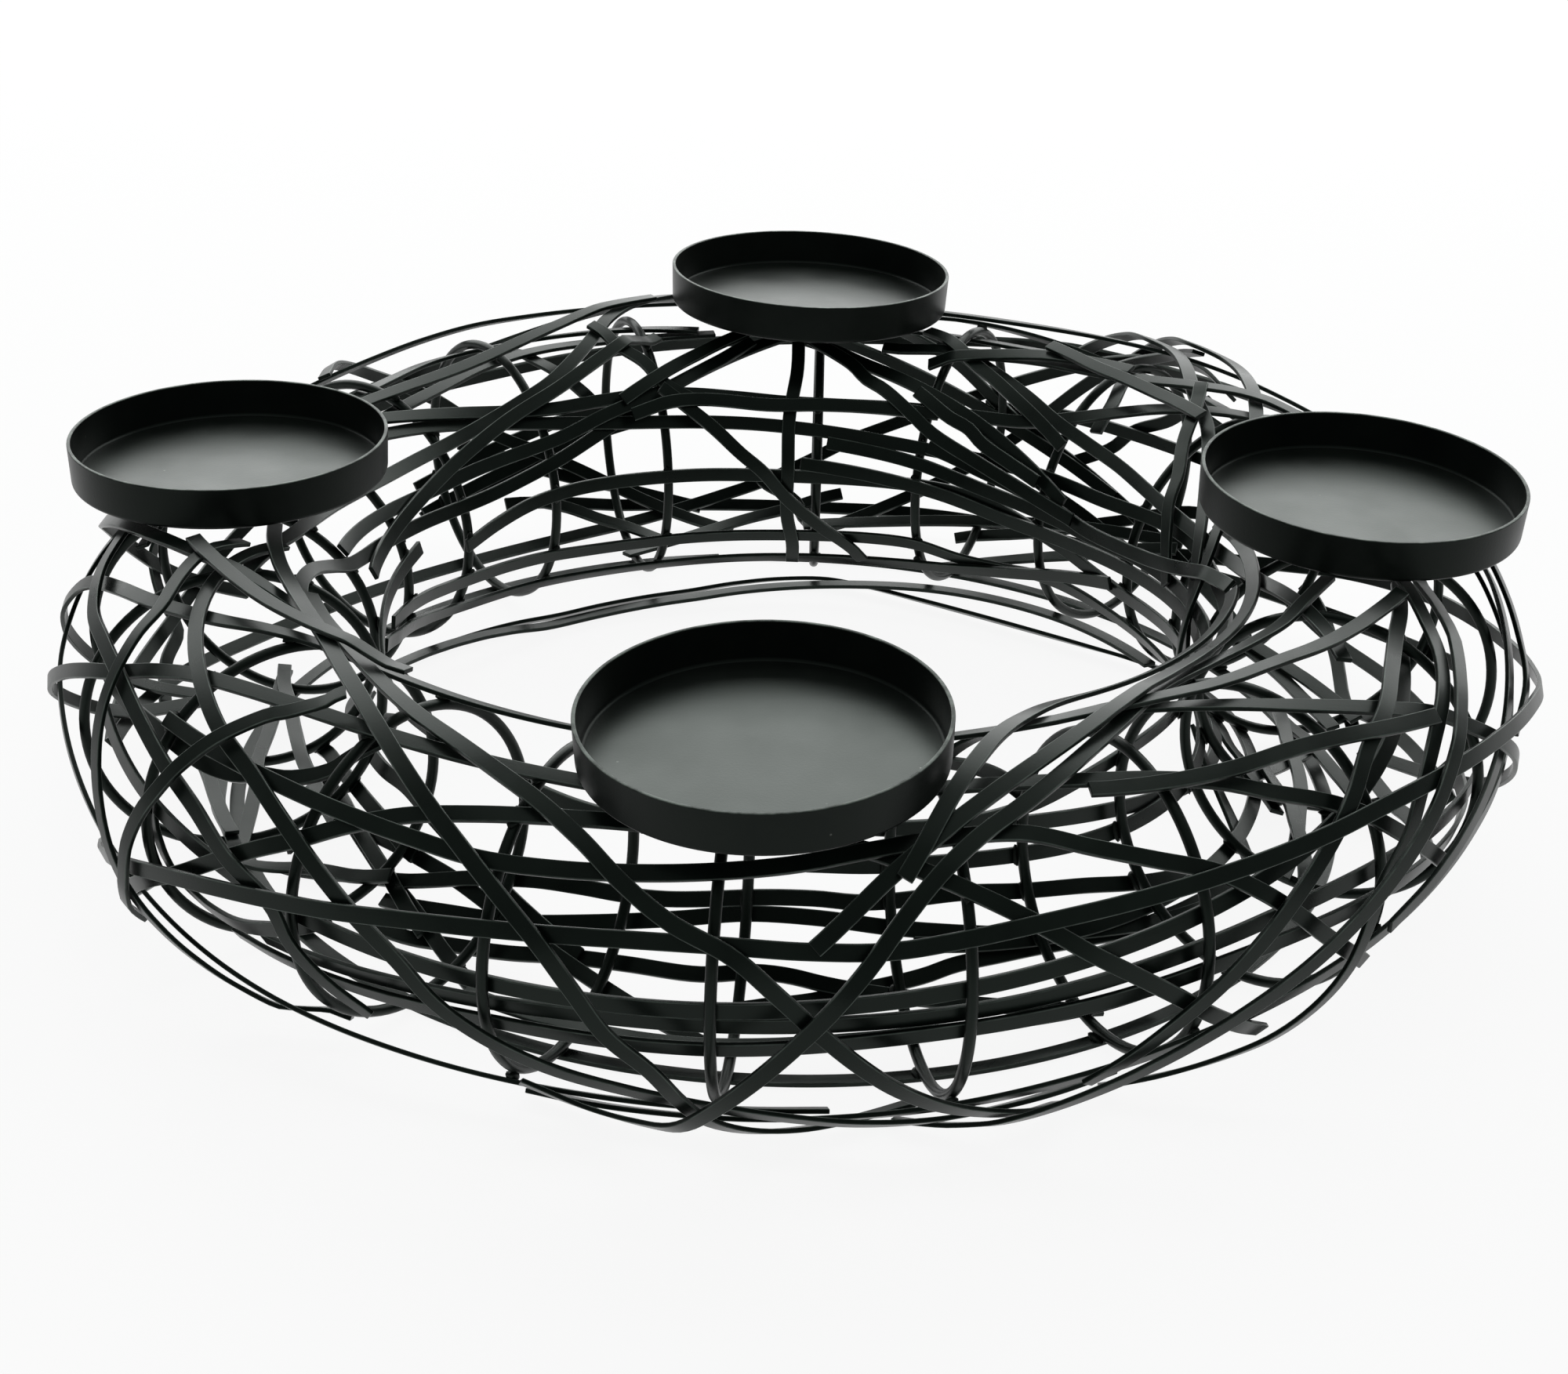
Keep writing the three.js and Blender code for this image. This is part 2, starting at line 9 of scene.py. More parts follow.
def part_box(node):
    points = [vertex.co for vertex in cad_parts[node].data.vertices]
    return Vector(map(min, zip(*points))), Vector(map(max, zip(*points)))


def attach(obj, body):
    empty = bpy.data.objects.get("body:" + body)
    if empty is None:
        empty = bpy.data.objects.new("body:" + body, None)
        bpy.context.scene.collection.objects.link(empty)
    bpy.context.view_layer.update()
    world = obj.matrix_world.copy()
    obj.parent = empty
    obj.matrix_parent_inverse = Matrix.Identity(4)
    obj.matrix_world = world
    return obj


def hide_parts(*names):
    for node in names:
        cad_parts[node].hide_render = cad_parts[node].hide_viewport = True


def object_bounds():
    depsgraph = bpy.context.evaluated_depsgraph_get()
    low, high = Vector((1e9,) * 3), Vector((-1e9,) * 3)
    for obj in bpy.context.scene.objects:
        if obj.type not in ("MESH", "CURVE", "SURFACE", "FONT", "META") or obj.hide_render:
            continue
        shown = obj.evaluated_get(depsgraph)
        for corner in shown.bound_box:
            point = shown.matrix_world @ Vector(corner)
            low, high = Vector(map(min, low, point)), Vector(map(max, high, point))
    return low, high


# The looks of the metal advent wreath: flat strips wound over wire hoops,
# with four candle plates. Metres; angles in degrees.

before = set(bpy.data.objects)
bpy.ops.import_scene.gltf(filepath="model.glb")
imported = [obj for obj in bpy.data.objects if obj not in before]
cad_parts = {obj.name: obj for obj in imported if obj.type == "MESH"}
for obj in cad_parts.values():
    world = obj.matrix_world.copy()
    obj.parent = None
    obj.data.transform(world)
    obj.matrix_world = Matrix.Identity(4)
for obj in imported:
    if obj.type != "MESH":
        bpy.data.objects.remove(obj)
cad_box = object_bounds()

MM = 0.001

# The ring, and the hoops that stand across it.
RING_RADIUS = 150 * MM
HOOP_RADIUS = 38.7 * MM
HOOP_WIRE = 2.8 * MM
HOOP_OUTER = HOOP_RADIUS + HOOP_WIRE / 2
HOOP_INNER = HOOP_RADIUS - HOOP_WIRE / 2
HOOP_STEPS = 96
WIRE_SIDES = 14

# The flat strips, and which side of the hoops they lie on.
STRIP_WIDTH = 4 * MM
STRIP_THICKNESS = 1.2 * MM
STRIP_EDGE = 0.22 * MM
STRIP_STEP = 2.6 * MM
WELD_GAP = 0.3 * MM
FIRST_LAYER = WELD_GAP + STRIP_THICKNESS / 2
OUTSIDE = 1
INSIDE = -1

# The candle plates. The rounding is by corner of the outline in make_plate().
PLATE_RIM = 42.5 * MM
PLATE_BASE = 42 * MM
PLATE_HEIGHT = 11.2 * MM
PLATE_SHEET = 1 * MM
PLATE_STEPS = 128
PLATE_ROUNDING = {1: 1.1 * MM, 2: 0.3 * MM, 3: 0.3 * MM, 4: 0.9 * MM}
LAYERS_UNDER_PLATE = 3
LAYER_PITCH = 1.75 * MM
PLATE_SEAT = HOOP_OUTER + LAYERS_UNDER_PLATE * LAYER_PITCH

# The stubs under the plates: each is longer than its solid by the bite, narrow
# at half height and flared at both ends.
STUB_RADIUS = 3.1 * MM
STUB_SIDES = 28
STUB_CUTS = 7
STUB_BITE = 0.5 * MM
STUB_WAIST = 0.74
STUB_FLARE = 0.3
STUB_FLARE_CURVE = 2.4
STUB_LUMPS = 0.16
STUB_LUMP_SCALE = 900

# The weld beads: the gaps between strip and hoop that they fill, their half
# sizes around the hoop and across it, and how far they reach out past the gap.
WELD_GAPS = (-0.1 * MM, 1.5 * MM)
BEAD_REACH = 2.9 * MM
BEAD_SIDE = 1.5 * MM
BEAD_DEPTH = 0.5 * MM
BEAD_LUMPS = 0.28
BEAD_LUMP_SCALE = 1.7
NEAR_HOOP = 20

# Points closer than this are one point.
MERGE = 0.01 * MM
PLATE_MERGE = 0.005 * MM

# Where each hoop stands on the ring, and how far it is turned about its own
# upright.
HOOPS = [
    (-3, 2), (14.5, 0), (32, 4), (50.5, 1), (71, -2), (88.5, 3), (110.5, -1), (129, -3),
    (147, -3), (165, 0), (183, -3), (200, 0), (218, -3), (236, -3), (252, -3), (267.5, -1),
    (285, -1), (303, -2), (320.5, -2), (339.5, -5),
]

# Where each plate stands, and how it leans outward and sideways.
PLATES = {
    "right": (0, 2, -1),
    "rear": (90, 3, -1.5),
    "left": (180, 1, -1.5),
    "front": (270, 3.5, -1.5),
}

# Strips of the weave beyond those of the frame, in the order of winding. The
# points of their routes are [ring angle, tube angle, lift in mm].
BINDING_STRIPS = [
    ("inside_upper", INSIDE, [[-156, 18], [-146, 10], [-135, 5], [-124, 1], [-110, -1],
        [-93, 1], [-76, 8], [-60, 18], [-44, 32], [-30, 50], [-18, 70]]),
    ("rear_hole_edge", OUTSIDE, [[163, 229, 1.3], [151, 229, 1.3], [139, 228, 1.3],
        [126, 229, 1.3], [114, 229, 1.3], [103, 229, 1.3], [92, 230, 1.3], [81, 230, 1.3],
        [70, 228, 1.3], [58, 227, 1.3], [44, 226, 1.3], [30, 227, 1.3]]),
    ("left_rim_wrap", OUTSIDE, [[-162, 97], [-160, 90], [-158, 81], [-155, 72], [-152, 63],
        [-151, 54], [-150, 46], [-148, 30], [-145, 12], [-142, -6], [-138, -26], [-132, -46],
        [-125, -62]]),
    ("left_steep_rise", OUTSIDE, [[-142, -28], [-140, -9], [-139, 7], [-138, 17], [-137, 25],
        [-136, 33], [-134, 46], [-131, 60], [-127, 76]]),
    ("left_crown_short", OUTSIDE, [[-161, 81], [-154, 85], [-150, 87], [-144, 90], [-136, 95],
        [-127, 101]]),
    ("front_under_rise", OUTSIDE, [[-79, -64], [-74, -55], [-67, -35], [-59, -17], [-50, 0],
        [-42, 16], [-34, 32], [-22, 52], [-8, 70]]),
    ("right_thin_arc", OUTSIDE, [[-17, 75], [-21, 78], [-31, 84], [-38, 89], [-47, 92],
        [-60, 98], [-76, 108], [-92, 122]]),
    ("right_high_arc", OUTSIDE, [[14, 136], [1, 131], [-12, 127], [-26, 121], [-40, 112],
        [-52, 100], [-62, 86], [-72, 68], [-80, 48], [-86, 26]]),
    ("right_bridge", OUTSIDE, [[-12, 134], [-22, 130], [-30, 128], [-40, 126],
        [-50, 122], [-58, 115], [-64, 104], [-69, 92], [-73, 78], [-76, 65], [-80, 44]]),
    ("right_crown_short", OUTSIDE, [[-64, 68], [-58, 64], [-52, 61], [-46, 59], [-42, 56],
        [-38, 52], [-31, 45]]),
    ("left_inner_arc", INSIDE, [[-158, 28], [-151, 31], [-145, 34], [-140, 35], [-137, 36],
        [-134, 39], [-132, 43], [-129, 47], [-126, 56], [-125, 66], [-124, 76], [-125, 84],
        [-126, 91]]),
    ("left_low_arc", INSIDE, [[-144, 4], [-143, -8], [-142, -21], [-140, -25], [-137, -27],
        [-133, -24], [-129, -16], [-126, -9], [-122, 3]]),
    ("left_through_steep", OUTSIDE, [[185, -41], [178, -38], [173, -36], [165, -32], [159, -26],
        [156, -22], [151, -15], [145, -7]]),
    ("left_through_upright", OUTSIDE, [[163, 2], [164, -5], [164, -25], [164, -36],
        [168, -42], [173, -52]]),
    ("left_through_broad", INSIDE, [[163, -84], [168, -90], [171, -94], [178, -98], [185, -98],
        [189, -99], [195, -96], [200, -91], [203, -87]]),
    ("left_through_lean", INSIDE, [[163, -83], [167, -91], [172, -102], [180, -113], [188, -120],
        [198, -126], [206, -127]]),
    ("left_through_pale", INSIDE, [[181, -80], [182, -81], [185, -83], [190, -83], [195, -82],
        [200, -84], [204, -84], [207, -86]]),
    ("left_through_thin", INSIDE, [[181, -63], [183, -67], [186, -73], [190, -78], [195, -81],
        [200, -83], [202, -84]]),
    ("left_through_slant", OUTSIDE, [[-179, -121], [-178, -122], [-174, -128], [-163, -137],
        [-156, -140], [-149, -141], [-141, -139], [-140, -139]]),
    ("left_through_fall", OUTSIDE, [[-163, -130], [-159, -131], [-151, -131], [-142, -128],
        [-135, -122], [-131, -118]]),
    ("left_through_level", INSIDE, [[-153, -81], [-152, -88], [-149, -106], [-143, -119],
        [-139, -128]]),
    ("right_through_fall", OUTSIDE, [[34, -42], [29, -45], [25, -46], [16, -43], [10, -41]]),
    ("right_through_upright", OUTSIDE, [[34, -33], [30, -40], [25, -50], [22, -56], [19, -61],
        [13, -67]]),
    ("right_through_slant", INSIDE, [[34, -75], [30, -76], [25, -77], [19, -78], [15, -77],
        [12, -76]]),
    ("right_through_slant_b", INSIDE, [[34, -74], [28, -73], [24, -72], [17, -68], [14, -66],
        [12, -65]]),
    ("right_through_rise", INSIDE, [[-6, -129], [-3, -124], [4, -106], [8, -91], [10, -79]]),
    ("right_through_lean", INSIDE, [[16, -95], [12, -93], [7, -90], [3, -86], [-1, -81],
        [-5, -76]]),
    ("right_through_bow", INSIDE, [[16, -96], [13, -99], [8, -103], [3, -103], [-2, -103],
        [-8, -104], [-14, -103], [-22, -102]]),
    ("right_through_bow_b", INSIDE, [[-1, -122], [-5, -115], [-8, -109], [-11, -106],
        [-14, -102], [-22, -92]]),
    ("right_through_short", OUTSIDE, [[16, -60], [14, -58], [8, -53], [3, -50], [-3, -46],
        [-5, -45]]),
    ("right_through_short_b", INSIDE, [[4, -73], [-1, -69], [-6, -63], [-9, -57], [-14, -49],
        [-22, -37]]),
    ("right_through_inner", OUTSIDE, [[19, -127], [13, -125], [9, -124], [7, -121], [2, -116],
        [-5, -110]]),
    ("right_through_inner_b", OUTSIDE, [[-1, -154], [-5, -145], [-9, -135], [-12, -128],
        [-16, -120], [-19, -115]]),
    ("far_long_band", OUTSIDE, [[-154, -100], [-151, -109], [-146, -121], [-139, -131],
        [-130, -143], [-121, -151], [-114, -154], [-108, -155], [-103, -156], [-91, -160],
        [-84, -160], [-78, -158], [-65, -157], [-57, -153], [-47, -147], [-38, -139],
        [-28, -130]]),
    ("far_left_wide", OUTSIDE, [[-169, -119], [-160, -127], [-151, -134], [-144, -138],
        [-135, -140], [-129, -139], [-120, -134], [-110, -125], [-101, -114], [-94, -104]]),
    ("far_left_low", OUTSIDE, [[-172, -124], [-162, -128], [-152, -129], [-146, -128],
        [-139, -126], [-134, -123], [-130, -119], [-125, -113], [-119, -104]]),
    ("far_left_high", OUTSIDE, [[-190, -134], [-180, -141], [-169, -147], [-157, -152],
        [-150, -155], [-144, -154], [-133, -149], [-122, -141], [-112, -132]]),
    ("far_front_low", OUTSIDE, [[-138, -110], [-130, -119], [-121, -126], [-114, -131],
        [-106, -133], [-97, -133], [-91, -135], [-87, -134], [-83, -131], [-79, -128],
        [-70, -121], [-61, -112], [-54, -103]]),
    ("far_front_middle", OUTSIDE, [[-142, -121], [-132, -130], [-123, -136], [-113, -143],
        [-101, -150], [-92, -154], [-83, -153], [-75, -149], [-66, -144], [-54, -136],
        [-42, -127], [-32, -118]]),
    ("far_front_bottom", INSIDE, [[-120, -99], [-110, -98], [-101, -98], [-95, -99], [-89, -101],
        [-83, -103], [-77, -104], [-72, -104], [-65, -103], [-57, -100], [-49, -98]]),
    ("far_right_band", OUTSIDE, [[-92, -121], [-81, -128], [-71, -132], [-67, -134],
        [-60, -134], [-55, -133], [-48, -130], [-43, -127], [-38, -125], [-29, -120],
        [-23, -116]]),
    ("far_right_wall", OUTSIDE, [[-88, 172], [-70, 179], [-54, 185], [-46, 189], [-36, 195],
        [-22, 205], [-12, 213], [0, 222], [12, 228]]),
    ("rear_low_inner", OUTSIDE, [[90, 168], [78, 171], [67, 174], [54, 178], [46, 178],
        [36, 177], [25, 175], [11, 171], [3, 168], [-8, 163], [-20, 156], [-34, 145]]),
    ("rear_low_inner_b", OUTSIDE, [[86, 159], [72, 163], [60, 168], [48, 170], [35, 170],
        [27, 168], [15, 165], [3, 161], [-8, 155], [-20, 147], [-32, 137]]),
    ("rear_right_fall", OUTSIDE, [[64, 26], [58, 47], [52, 67], [48, 73], [37, 100], [30, 111],
        [20, 130], [8, 150], [-6, 172]]),
    ("rear_right_fall_b", OUTSIDE, [[58, 30], [52, 52], [47, 66], [42, 68], [34, 82], [28, 94],
        [18, 114], [10, 134], [0, 154], [-8, 176]]),
    ("rear_right_top", OUTSIDE, [[80, 112], [74, 112], [68, 112], [59, 109], [51, 108],
        [44, 105], [36, 97], [28, 87], [20, 76]]),
    ("rear_right_rise", OUTSIDE, [[14, 166], [20, 151], [23, 143], [25, 134], [29, 123],
        [32, 112], [36, 99]]),
    ("rear_right_inner", OUTSIDE, [[70, 156], [60, 161], [51, 164], [44, 166], [37, 168],
        [27, 166], [17, 161], [6, 152], [-5, 140]]),
    ("rear_left_top", OUTSIDE, [[161, 98], [157, 100], [148, 104], [140, 106], [133, 105],
        [122, 98], [115, 91], [108, 85]]),
    ("rear_left_inner", OUTSIDE, [[186, 137], [177, 141], [168, 145], [157, 149], [146, 150],
        [130, 149], [121, 144], [113, 139], [108, 134], [102, 125], [97, 114]]),
    ("rear_middle_cross", OUTSIDE, [[99, 104], [93, 110], [87, 117], [82, 124], [76, 130],
        [70, 136], [62, 144], [53, 153], [43, 162]]),
    ("rear_lower_wall", OUTSIDE, [[182, 184], [172, 190], [162, 198], [144, 213], [131, 218],
        [119, 222], [109, 223], [99, 222], [91, 221], [80, 218], [68, 212], [56, 204],
        [44, 194], [32, 185]]),
    ("rear_left_inside", INSIDE, [[156, 90], [148, 86], [141, 81], [133, 71], [126, 69],
        [119, 72], [111, 80], [103, 90]]),
    ("rear_left_inside_b", INSIDE, [[156, 111], [148, 108], [139, 104], [131, 97], [123, 92],
        [116, 91], [109, 90], [101, 89]]),
    ("rear_left_rib", INSIDE, [[128, 68], [125, 80], [124, 100], [122, 120], [120, 135]]),
    ("rear_right_inside", INSIDE, [[82, 78], [72, 79], [65, 80], [59, 74], [52, 70], [45, 73],
        [37, 80], [30, 84]]),
    ("rear_right_rib", INSIDE, [[51, 66], [51, 84], [48, 112], [47, 129]]),
    ("rear_upright", OUTSIDE, [[91, 112], [91, 130], [92, 150], [92, 170], [92, 190],
        [91, 206], [91, 220]]),
    ("rear_inner_fall", OUTSIDE, [[118, 104], [117, 109], [116, 117], [113, 126], [111, 135],
        [106, 144]]),
    ("rear_inner_rise", OUTSIDE, [[182, 154], [171, 152], [160, 149], [149, 144], [138, 138],
        [128, 132], [121, 125], [115, 117], [109, 106]]),
    ("rear_inner_rise_b", OUTSIDE, [[118, 140], [110, 131], [105, 124], [101, 117], [97, 109]]),
    ("rear_inner_slant", OUTSIDE, [[112, 138], [108, 146], [104, 154], [100, 163], [96, 171],
        [92, 182], [86, 196], [82, 206], [80, 214]]),
    ("rear_inner_level", OUTSIDE, [[117, 146], [111, 144], [105, 144], [95, 146], [87, 145],
        [79, 144], [69, 143]]),
    ("rear_inner_slant_b", OUTSIDE, [[90, 115], [83, 128], [81, 133], [78, 137], [73, 145],
        [69, 151], [60, 158], [50, 163], [40, 166]]),
    ("rear_inner_slant_c", OUTSIDE, [[75, 101], [70, 111], [67, 118], [63, 124], [58, 131],
        [48, 143]]),
    ("rear_inner_slant_d", OUTSIDE, [[73, 136], [67, 144], [63, 147], [60, 151], [54, 155],
        [48, 158]]),
    ("rear_inner_long", OUTSIDE, [[73, 121], [69, 118], [63, 113], [58, 109], [54, 107],
        [46, 104]]),
    ("rear_inner_long_b", OUTSIDE, [[58, 105], [50, 110], [45, 111], [39, 112], [31, 112],
        [30, 112]]),
    ("rear_through_rise", OUTSIDE, [[131, -38], [120, -26], [116, -21], [113, -19], [110, -15],
        [107, -12]]),
    ("rear_through_broad", OUTSIDE, [[131, -39], [129, -36], [126, -33], [121, -29], [117, -24],
        [113, -17], [108, -10]]),
    ("rear_through_short", OUTSIDE, [[131, -26], [126, -21], [122, -17], [118, -13], [114, -8],
        [108, -2]]),
    ("rear_through_level", OUTSIDE, [[125, -12], [119, -24], [116, -30], [113, -35], [110, -39],
        [106, -45], [101, -52]]),
    ("rear_through_fall", INSIDE, [[119, -46], [116, -52], [113, -61], [110, -69], [107, -80]]),
    ("rear_through_slant", INSIDE, [[112, -94], [104, -81], [100, -74], [96, -67], [92, -61],
        [88, -53], [86, -50]]),
    ("rear_through_slant_b", INSIDE, [[96, -36], [94, -47], [91, -57], [90, -68], [87, -80]]),
    ("rear_through_long", OUTSIDE, [[73, -2], [68, -1], [64, 0], [58, 0], [52, 0], [47, 0]]),
    ("rear_through_cross", OUTSIDE, [[64, -19], [60, -9], [58, 0], [54, 10], [51, 22],
        [48, 31]]),
    ("rear_through_long_b", OUTSIDE, [[73, -15], [69, -23], [66, -30], [61, -38], [56, -46],
        [51, -52], [48, -55]]),
    ("rear_through_cross_b", OUTSIDE, [[73, -64], [65, -50], [61, -42], [56, -34], [50, -25],
        [48, -23]]),
    ("rear_through_low", INSIDE, [[90, -76], [89, -75], [84, -70], [75, -61], [65, -52],
        [60, -48], [48, -40]]),
    ("rear_through_low_b", INSIDE, [[73, -105], [72, -101], [69, -89], [63, -74], [57, -62],
        [52, -51], [48, -44]]),
    ("outer_long_band", OUTSIDE, [[158, -2], [150, 4], [142, 9], [133, 13], [127, 15],
        [121, 17], [114, 20], [108, 22], [103, 23], [92, 24], [80, 25], [67, 27], [56, 26],
        [48, 29], [36, 34], [25, 40], [14, 46]]),
    ("outer_left_rise", OUTSIDE, [[160, 2], [148, 13], [138, 20], [128, 25], [123, 30],
        [117, 39], [112, 48], [105, 55], [97, 60]]),
    ("outer_low_band", OUTSIDE, [[122, -42], [110, -47], [99, -50], [88, -51], [81, -50],
        [72, -49], [64, -49], [54, -48], [42, -44], [30, -38], [18, -28], [8, -16]]),
]

# Strips that lie level wherever they are on the tube, so that they face down.
LEVEL_STRIPS = ("rear_hole_edge",)
DOWN = 270

radians = np.radians
degrees = np.degrees


def ring_centre():
    """Middle of the ring's tube, from where the first hoop stands."""
    low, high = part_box("hoop_01")
    angle = math.radians(HOOPS[0][0])
    return (low + high) / 2 - RING_RADIUS * Vector((math.cos(angle), math.sin(angle), 0))


CENTRE = np.array(ring_centre())


def tube_points(ring, tube, radius):
    reach = RING_RADIUS + radius * np.cos(radians(tube))
    return np.stack([
        reach * np.cos(radians(ring)),
        reach * np.sin(radians(ring)),
        radius * np.sin(radians(tube)),
    ], -1)


def tube_normals(ring, tube):
    return np.stack([
        np.cos(radians(tube)) * np.cos(radians(ring)),
        np.cos(radians(tube)) * np.sin(radians(ring)),
        np.sin(radians(tube)),
    ], -1)


def tube_places(points):
    """Ring angle, tube angle and tube radius of points about the ring."""
    reach = np.hypot(points[..., 0], points[..., 1]) - RING_RADIUS
    ring = degrees(np.arctan2(points[..., 1], points[..., 0]))
    tube = degrees(np.arctan2(points[..., 2], reach))
    return ring, tube, np.hypot(reach, points[..., 2])


def unit(vectors):
    return vectors / np.linalg.norm(vectors, axis=-1, keepdims=True)


FINE_STEPS = 24


def smooth_through(points, spacing):
    """Points at even spacing along a smooth line through the given ones."""
    points = np.asarray(points, float)
    before = [2 * points[0] - points[1]]
    after = [2 * points[-1] - points[-2]]
    padded = np.concatenate([before, points, after])
    gaps = np.linalg.norm(np.diff(padded, axis=0), axis=1)
    knots = np.concatenate([[0], np.cumsum(gaps ** 0.5)])
    fine = []
    for i in range(1, len(padded) - 2):
        t0, t1, t2, t3 = knots[i - 1:i + 3]
        p0, p1, p2, p3 = padded[i - 1:i + 3]
        t = np.linspace(t1, t2, FINE_STEPS, endpoint=False)[:, None]
        a1 = (t1 - t) / (t1 - t0) * p0 + (t - t0) / (t1 - t0) * p1
        a2 = (t2 - t) / (t2 - t1) * p1 + (t - t1) / (t2 - t1) * p2
        a3 = (t3 - t) / (t3 - t2) * p2 + (t - t2) / (t3 - t2) * p3
        b1 = (t2 - t) / (t2 - t0) * a1 + (t - t0) / (t2 - t0) * a2
        b2 = (t3 - t) / (t3 - t1) * a2 + (t - t1) / (t3 - t1) * a3
        fine.append((t2 - t) / (t2 - t1) * b1 + (t - t1) / (t2 - t1) * b2)
    fine = np.concatenate(fine + [padded[-2:-1]])
    steps = np.linalg.norm(np.diff(fine, axis=0), axis=1)
    lengths = np.concatenate([[0], np.cumsum(steps)])
    count = max(4, math.ceil(lengths[-1] / spacing))
    at = np.linspace(0, lengths[-1], count + 1)
    return np.stack([np.interp(at, lengths, fine[:, k]) for k in range(fine.shape[1])], -1)


class StripLine:
    """The middle line of a strip with the directions across and out of it."""

    def __init__(self, points, outs):
        self.points = points
        along = unit(np.gradient(points, axis=0))
        self.across = unit(np.cross(along, outs))
        self.outs = unit(np.cross(self.across, along))
        steps = np.linalg.norm(np.diff(points, axis=0), axis=1)
        self.lengths = np.concatenate([[0], np.cumsum(steps)])
        self.length = self.lengths[-1]

    def at(self, values, positions):
        """The values along the line, at lengths from its start."""
        return np.stack([np.interp(positions, self.lengths, column) for column in values.T], -1)

    def bend(self, bar):
        """Takes points of a straight bar to where they lie on the bent strip."""
        middle = self.at(self.points, bar[:, 0])
        across = unit(self.at(self.across, bar[:, 0]))
        outs = unit(self.at(self.outs, bar[:, 0]))
        return middle + bar[:, 1:2] * across + bar[:, 2:3] * outs


# A solid's section has no edge longer than this share of the strip's width.
SECTION_REACH = 1.12


def frame_strip_line(node):
    """The smooth middle line of a strip of the frame, from its solid's sections."""
    bm = bmesh.new()
    bm.from_mesh(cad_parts[node].data)
    bmesh.ops.remove_doubles(bm, verts=bm.verts, dist=MERGE)
    section_reach = SECTION_REACH * STRIP_WIDTH
    sections = []
    section_of = {}
    for first in bm.verts:
        if first in section_of:
            continue
        members = [first]
        section_of[first] = len(sections)
        for vert in members:
            for edge in vert.link_edges:
                other = edge.other_vert(vert)
                if edge.calc_length() < section_reach and other not in section_of:
                    section_of[other] = len(sections)
                    members.append(other)
        sections.append(members)
    neighbours = [set() for _ in sections]
    for edge in bm.edges:
        a, b = (section_of[v] for v in edge.verts)
        if a != b:
            neighbours[a].add(b)
            neighbours[b].add(a)
    at = next(i for i, found in enumerate(neighbours) if len(found) == 1)
    order = [at]
    while True:
        onward = [i for i in neighbours[at] if i not in order]
        if not onward:
            break
        at = onward[0]
        order.append(at)
    middles = np.array([np.mean([v.co for v in sections[i]], axis=0) for i in order]) - CENTRE
    bm.free()
    points = smooth_through(middles, STRIP_STEP / 2)
    ring, tube, _ = tube_places(points)
    return StripLine(points, tube_normals(ring, tube))


# Cells of a layer map, along the ring and around the tube, and the places
# across a strip that are looked up in it.
MAP_SHAPE = (900, 240)
ACROSS = np.linspace(-1, 1, 9)
STAMP_MARGIN = 0.5 * MM


class LayerMap:
    """How high the strips laid so far reach above the hoops, all over the tube."""

    def __init__(self, side):
        self.side = side
        self.tops = np.zeros(MAP_SHAPE)

    def height(self, radius):
        return radius - HOOP_OUTER if self.side == OUTSIDE else HOOP_INNER - radius

    def radius(self, height):
        return HOOP_OUTER + height if self.side == OUTSIDE else HOOP_INNER - height

    def cells(self, line, half_width):
        spread = line.points[:, None] + half_width * ACROSS[None, :, None] * line.across[:, None]
        ring, tube, _ = tube_places(spread)
        return tuple(
            np.floor(turn % 360 / 360 * count).astype(int) % count
            for turn, count in zip((ring, tube), MAP_SHAPE)
        )

    def stamp(self, line):
        _, _, radius = tube_places(line.points)
        tops = self.height(radius) + STRIP_THICKNESS / 2
        cells = self.cells(line, STRIP_WIDTH / 2 + STAMP_MARGIN)
        np.maximum.at(self.tops, cells, np.repeat(tops[:, None], len(ACROSS), 1))

    def needed(self, line):
        """The height at which a strip's middle clears all that lies under it."""
        return self.tops[self.cells(line, STRIP_WIDTH / 2)].max(1) + FIRST_LAYER


def widened(values, reach):
    """The largest of the values within reach on either side of each."""
    padded = np.pad(values, reach, mode="edge")
    return np.max([padded[i:i + len(values)] for i in range(2 * reach + 1)], axis=0)


def averaged(values, reach):
    """The average of the values within reach on either side of each."""
    padded = np.pad(values, reach, mode="edge")
    return np.mean([padded[i:i + len(values)] for i in range(2 * reach + 1)], axis=0)


# How far a strip's middle line keeps from the sides of the frame's own box.
BOX_MARGIN = np.array([1.9, 1.9, 1.7]) * MM

# What a degree measures along the ring and around the tube.
RING_DEGREE = 2.6 * MM
TUBE_DEGREE = 0.68 * MM

# A strip is stiff. In each round its points are lifted to the average of those
# that lie a span before and after them, less a small dip.
STIFF_SPAN = 9
STIFF_DIP = 0.05 * MM
STIFF_ROUNDS = 260
EVENING_REACH = 4


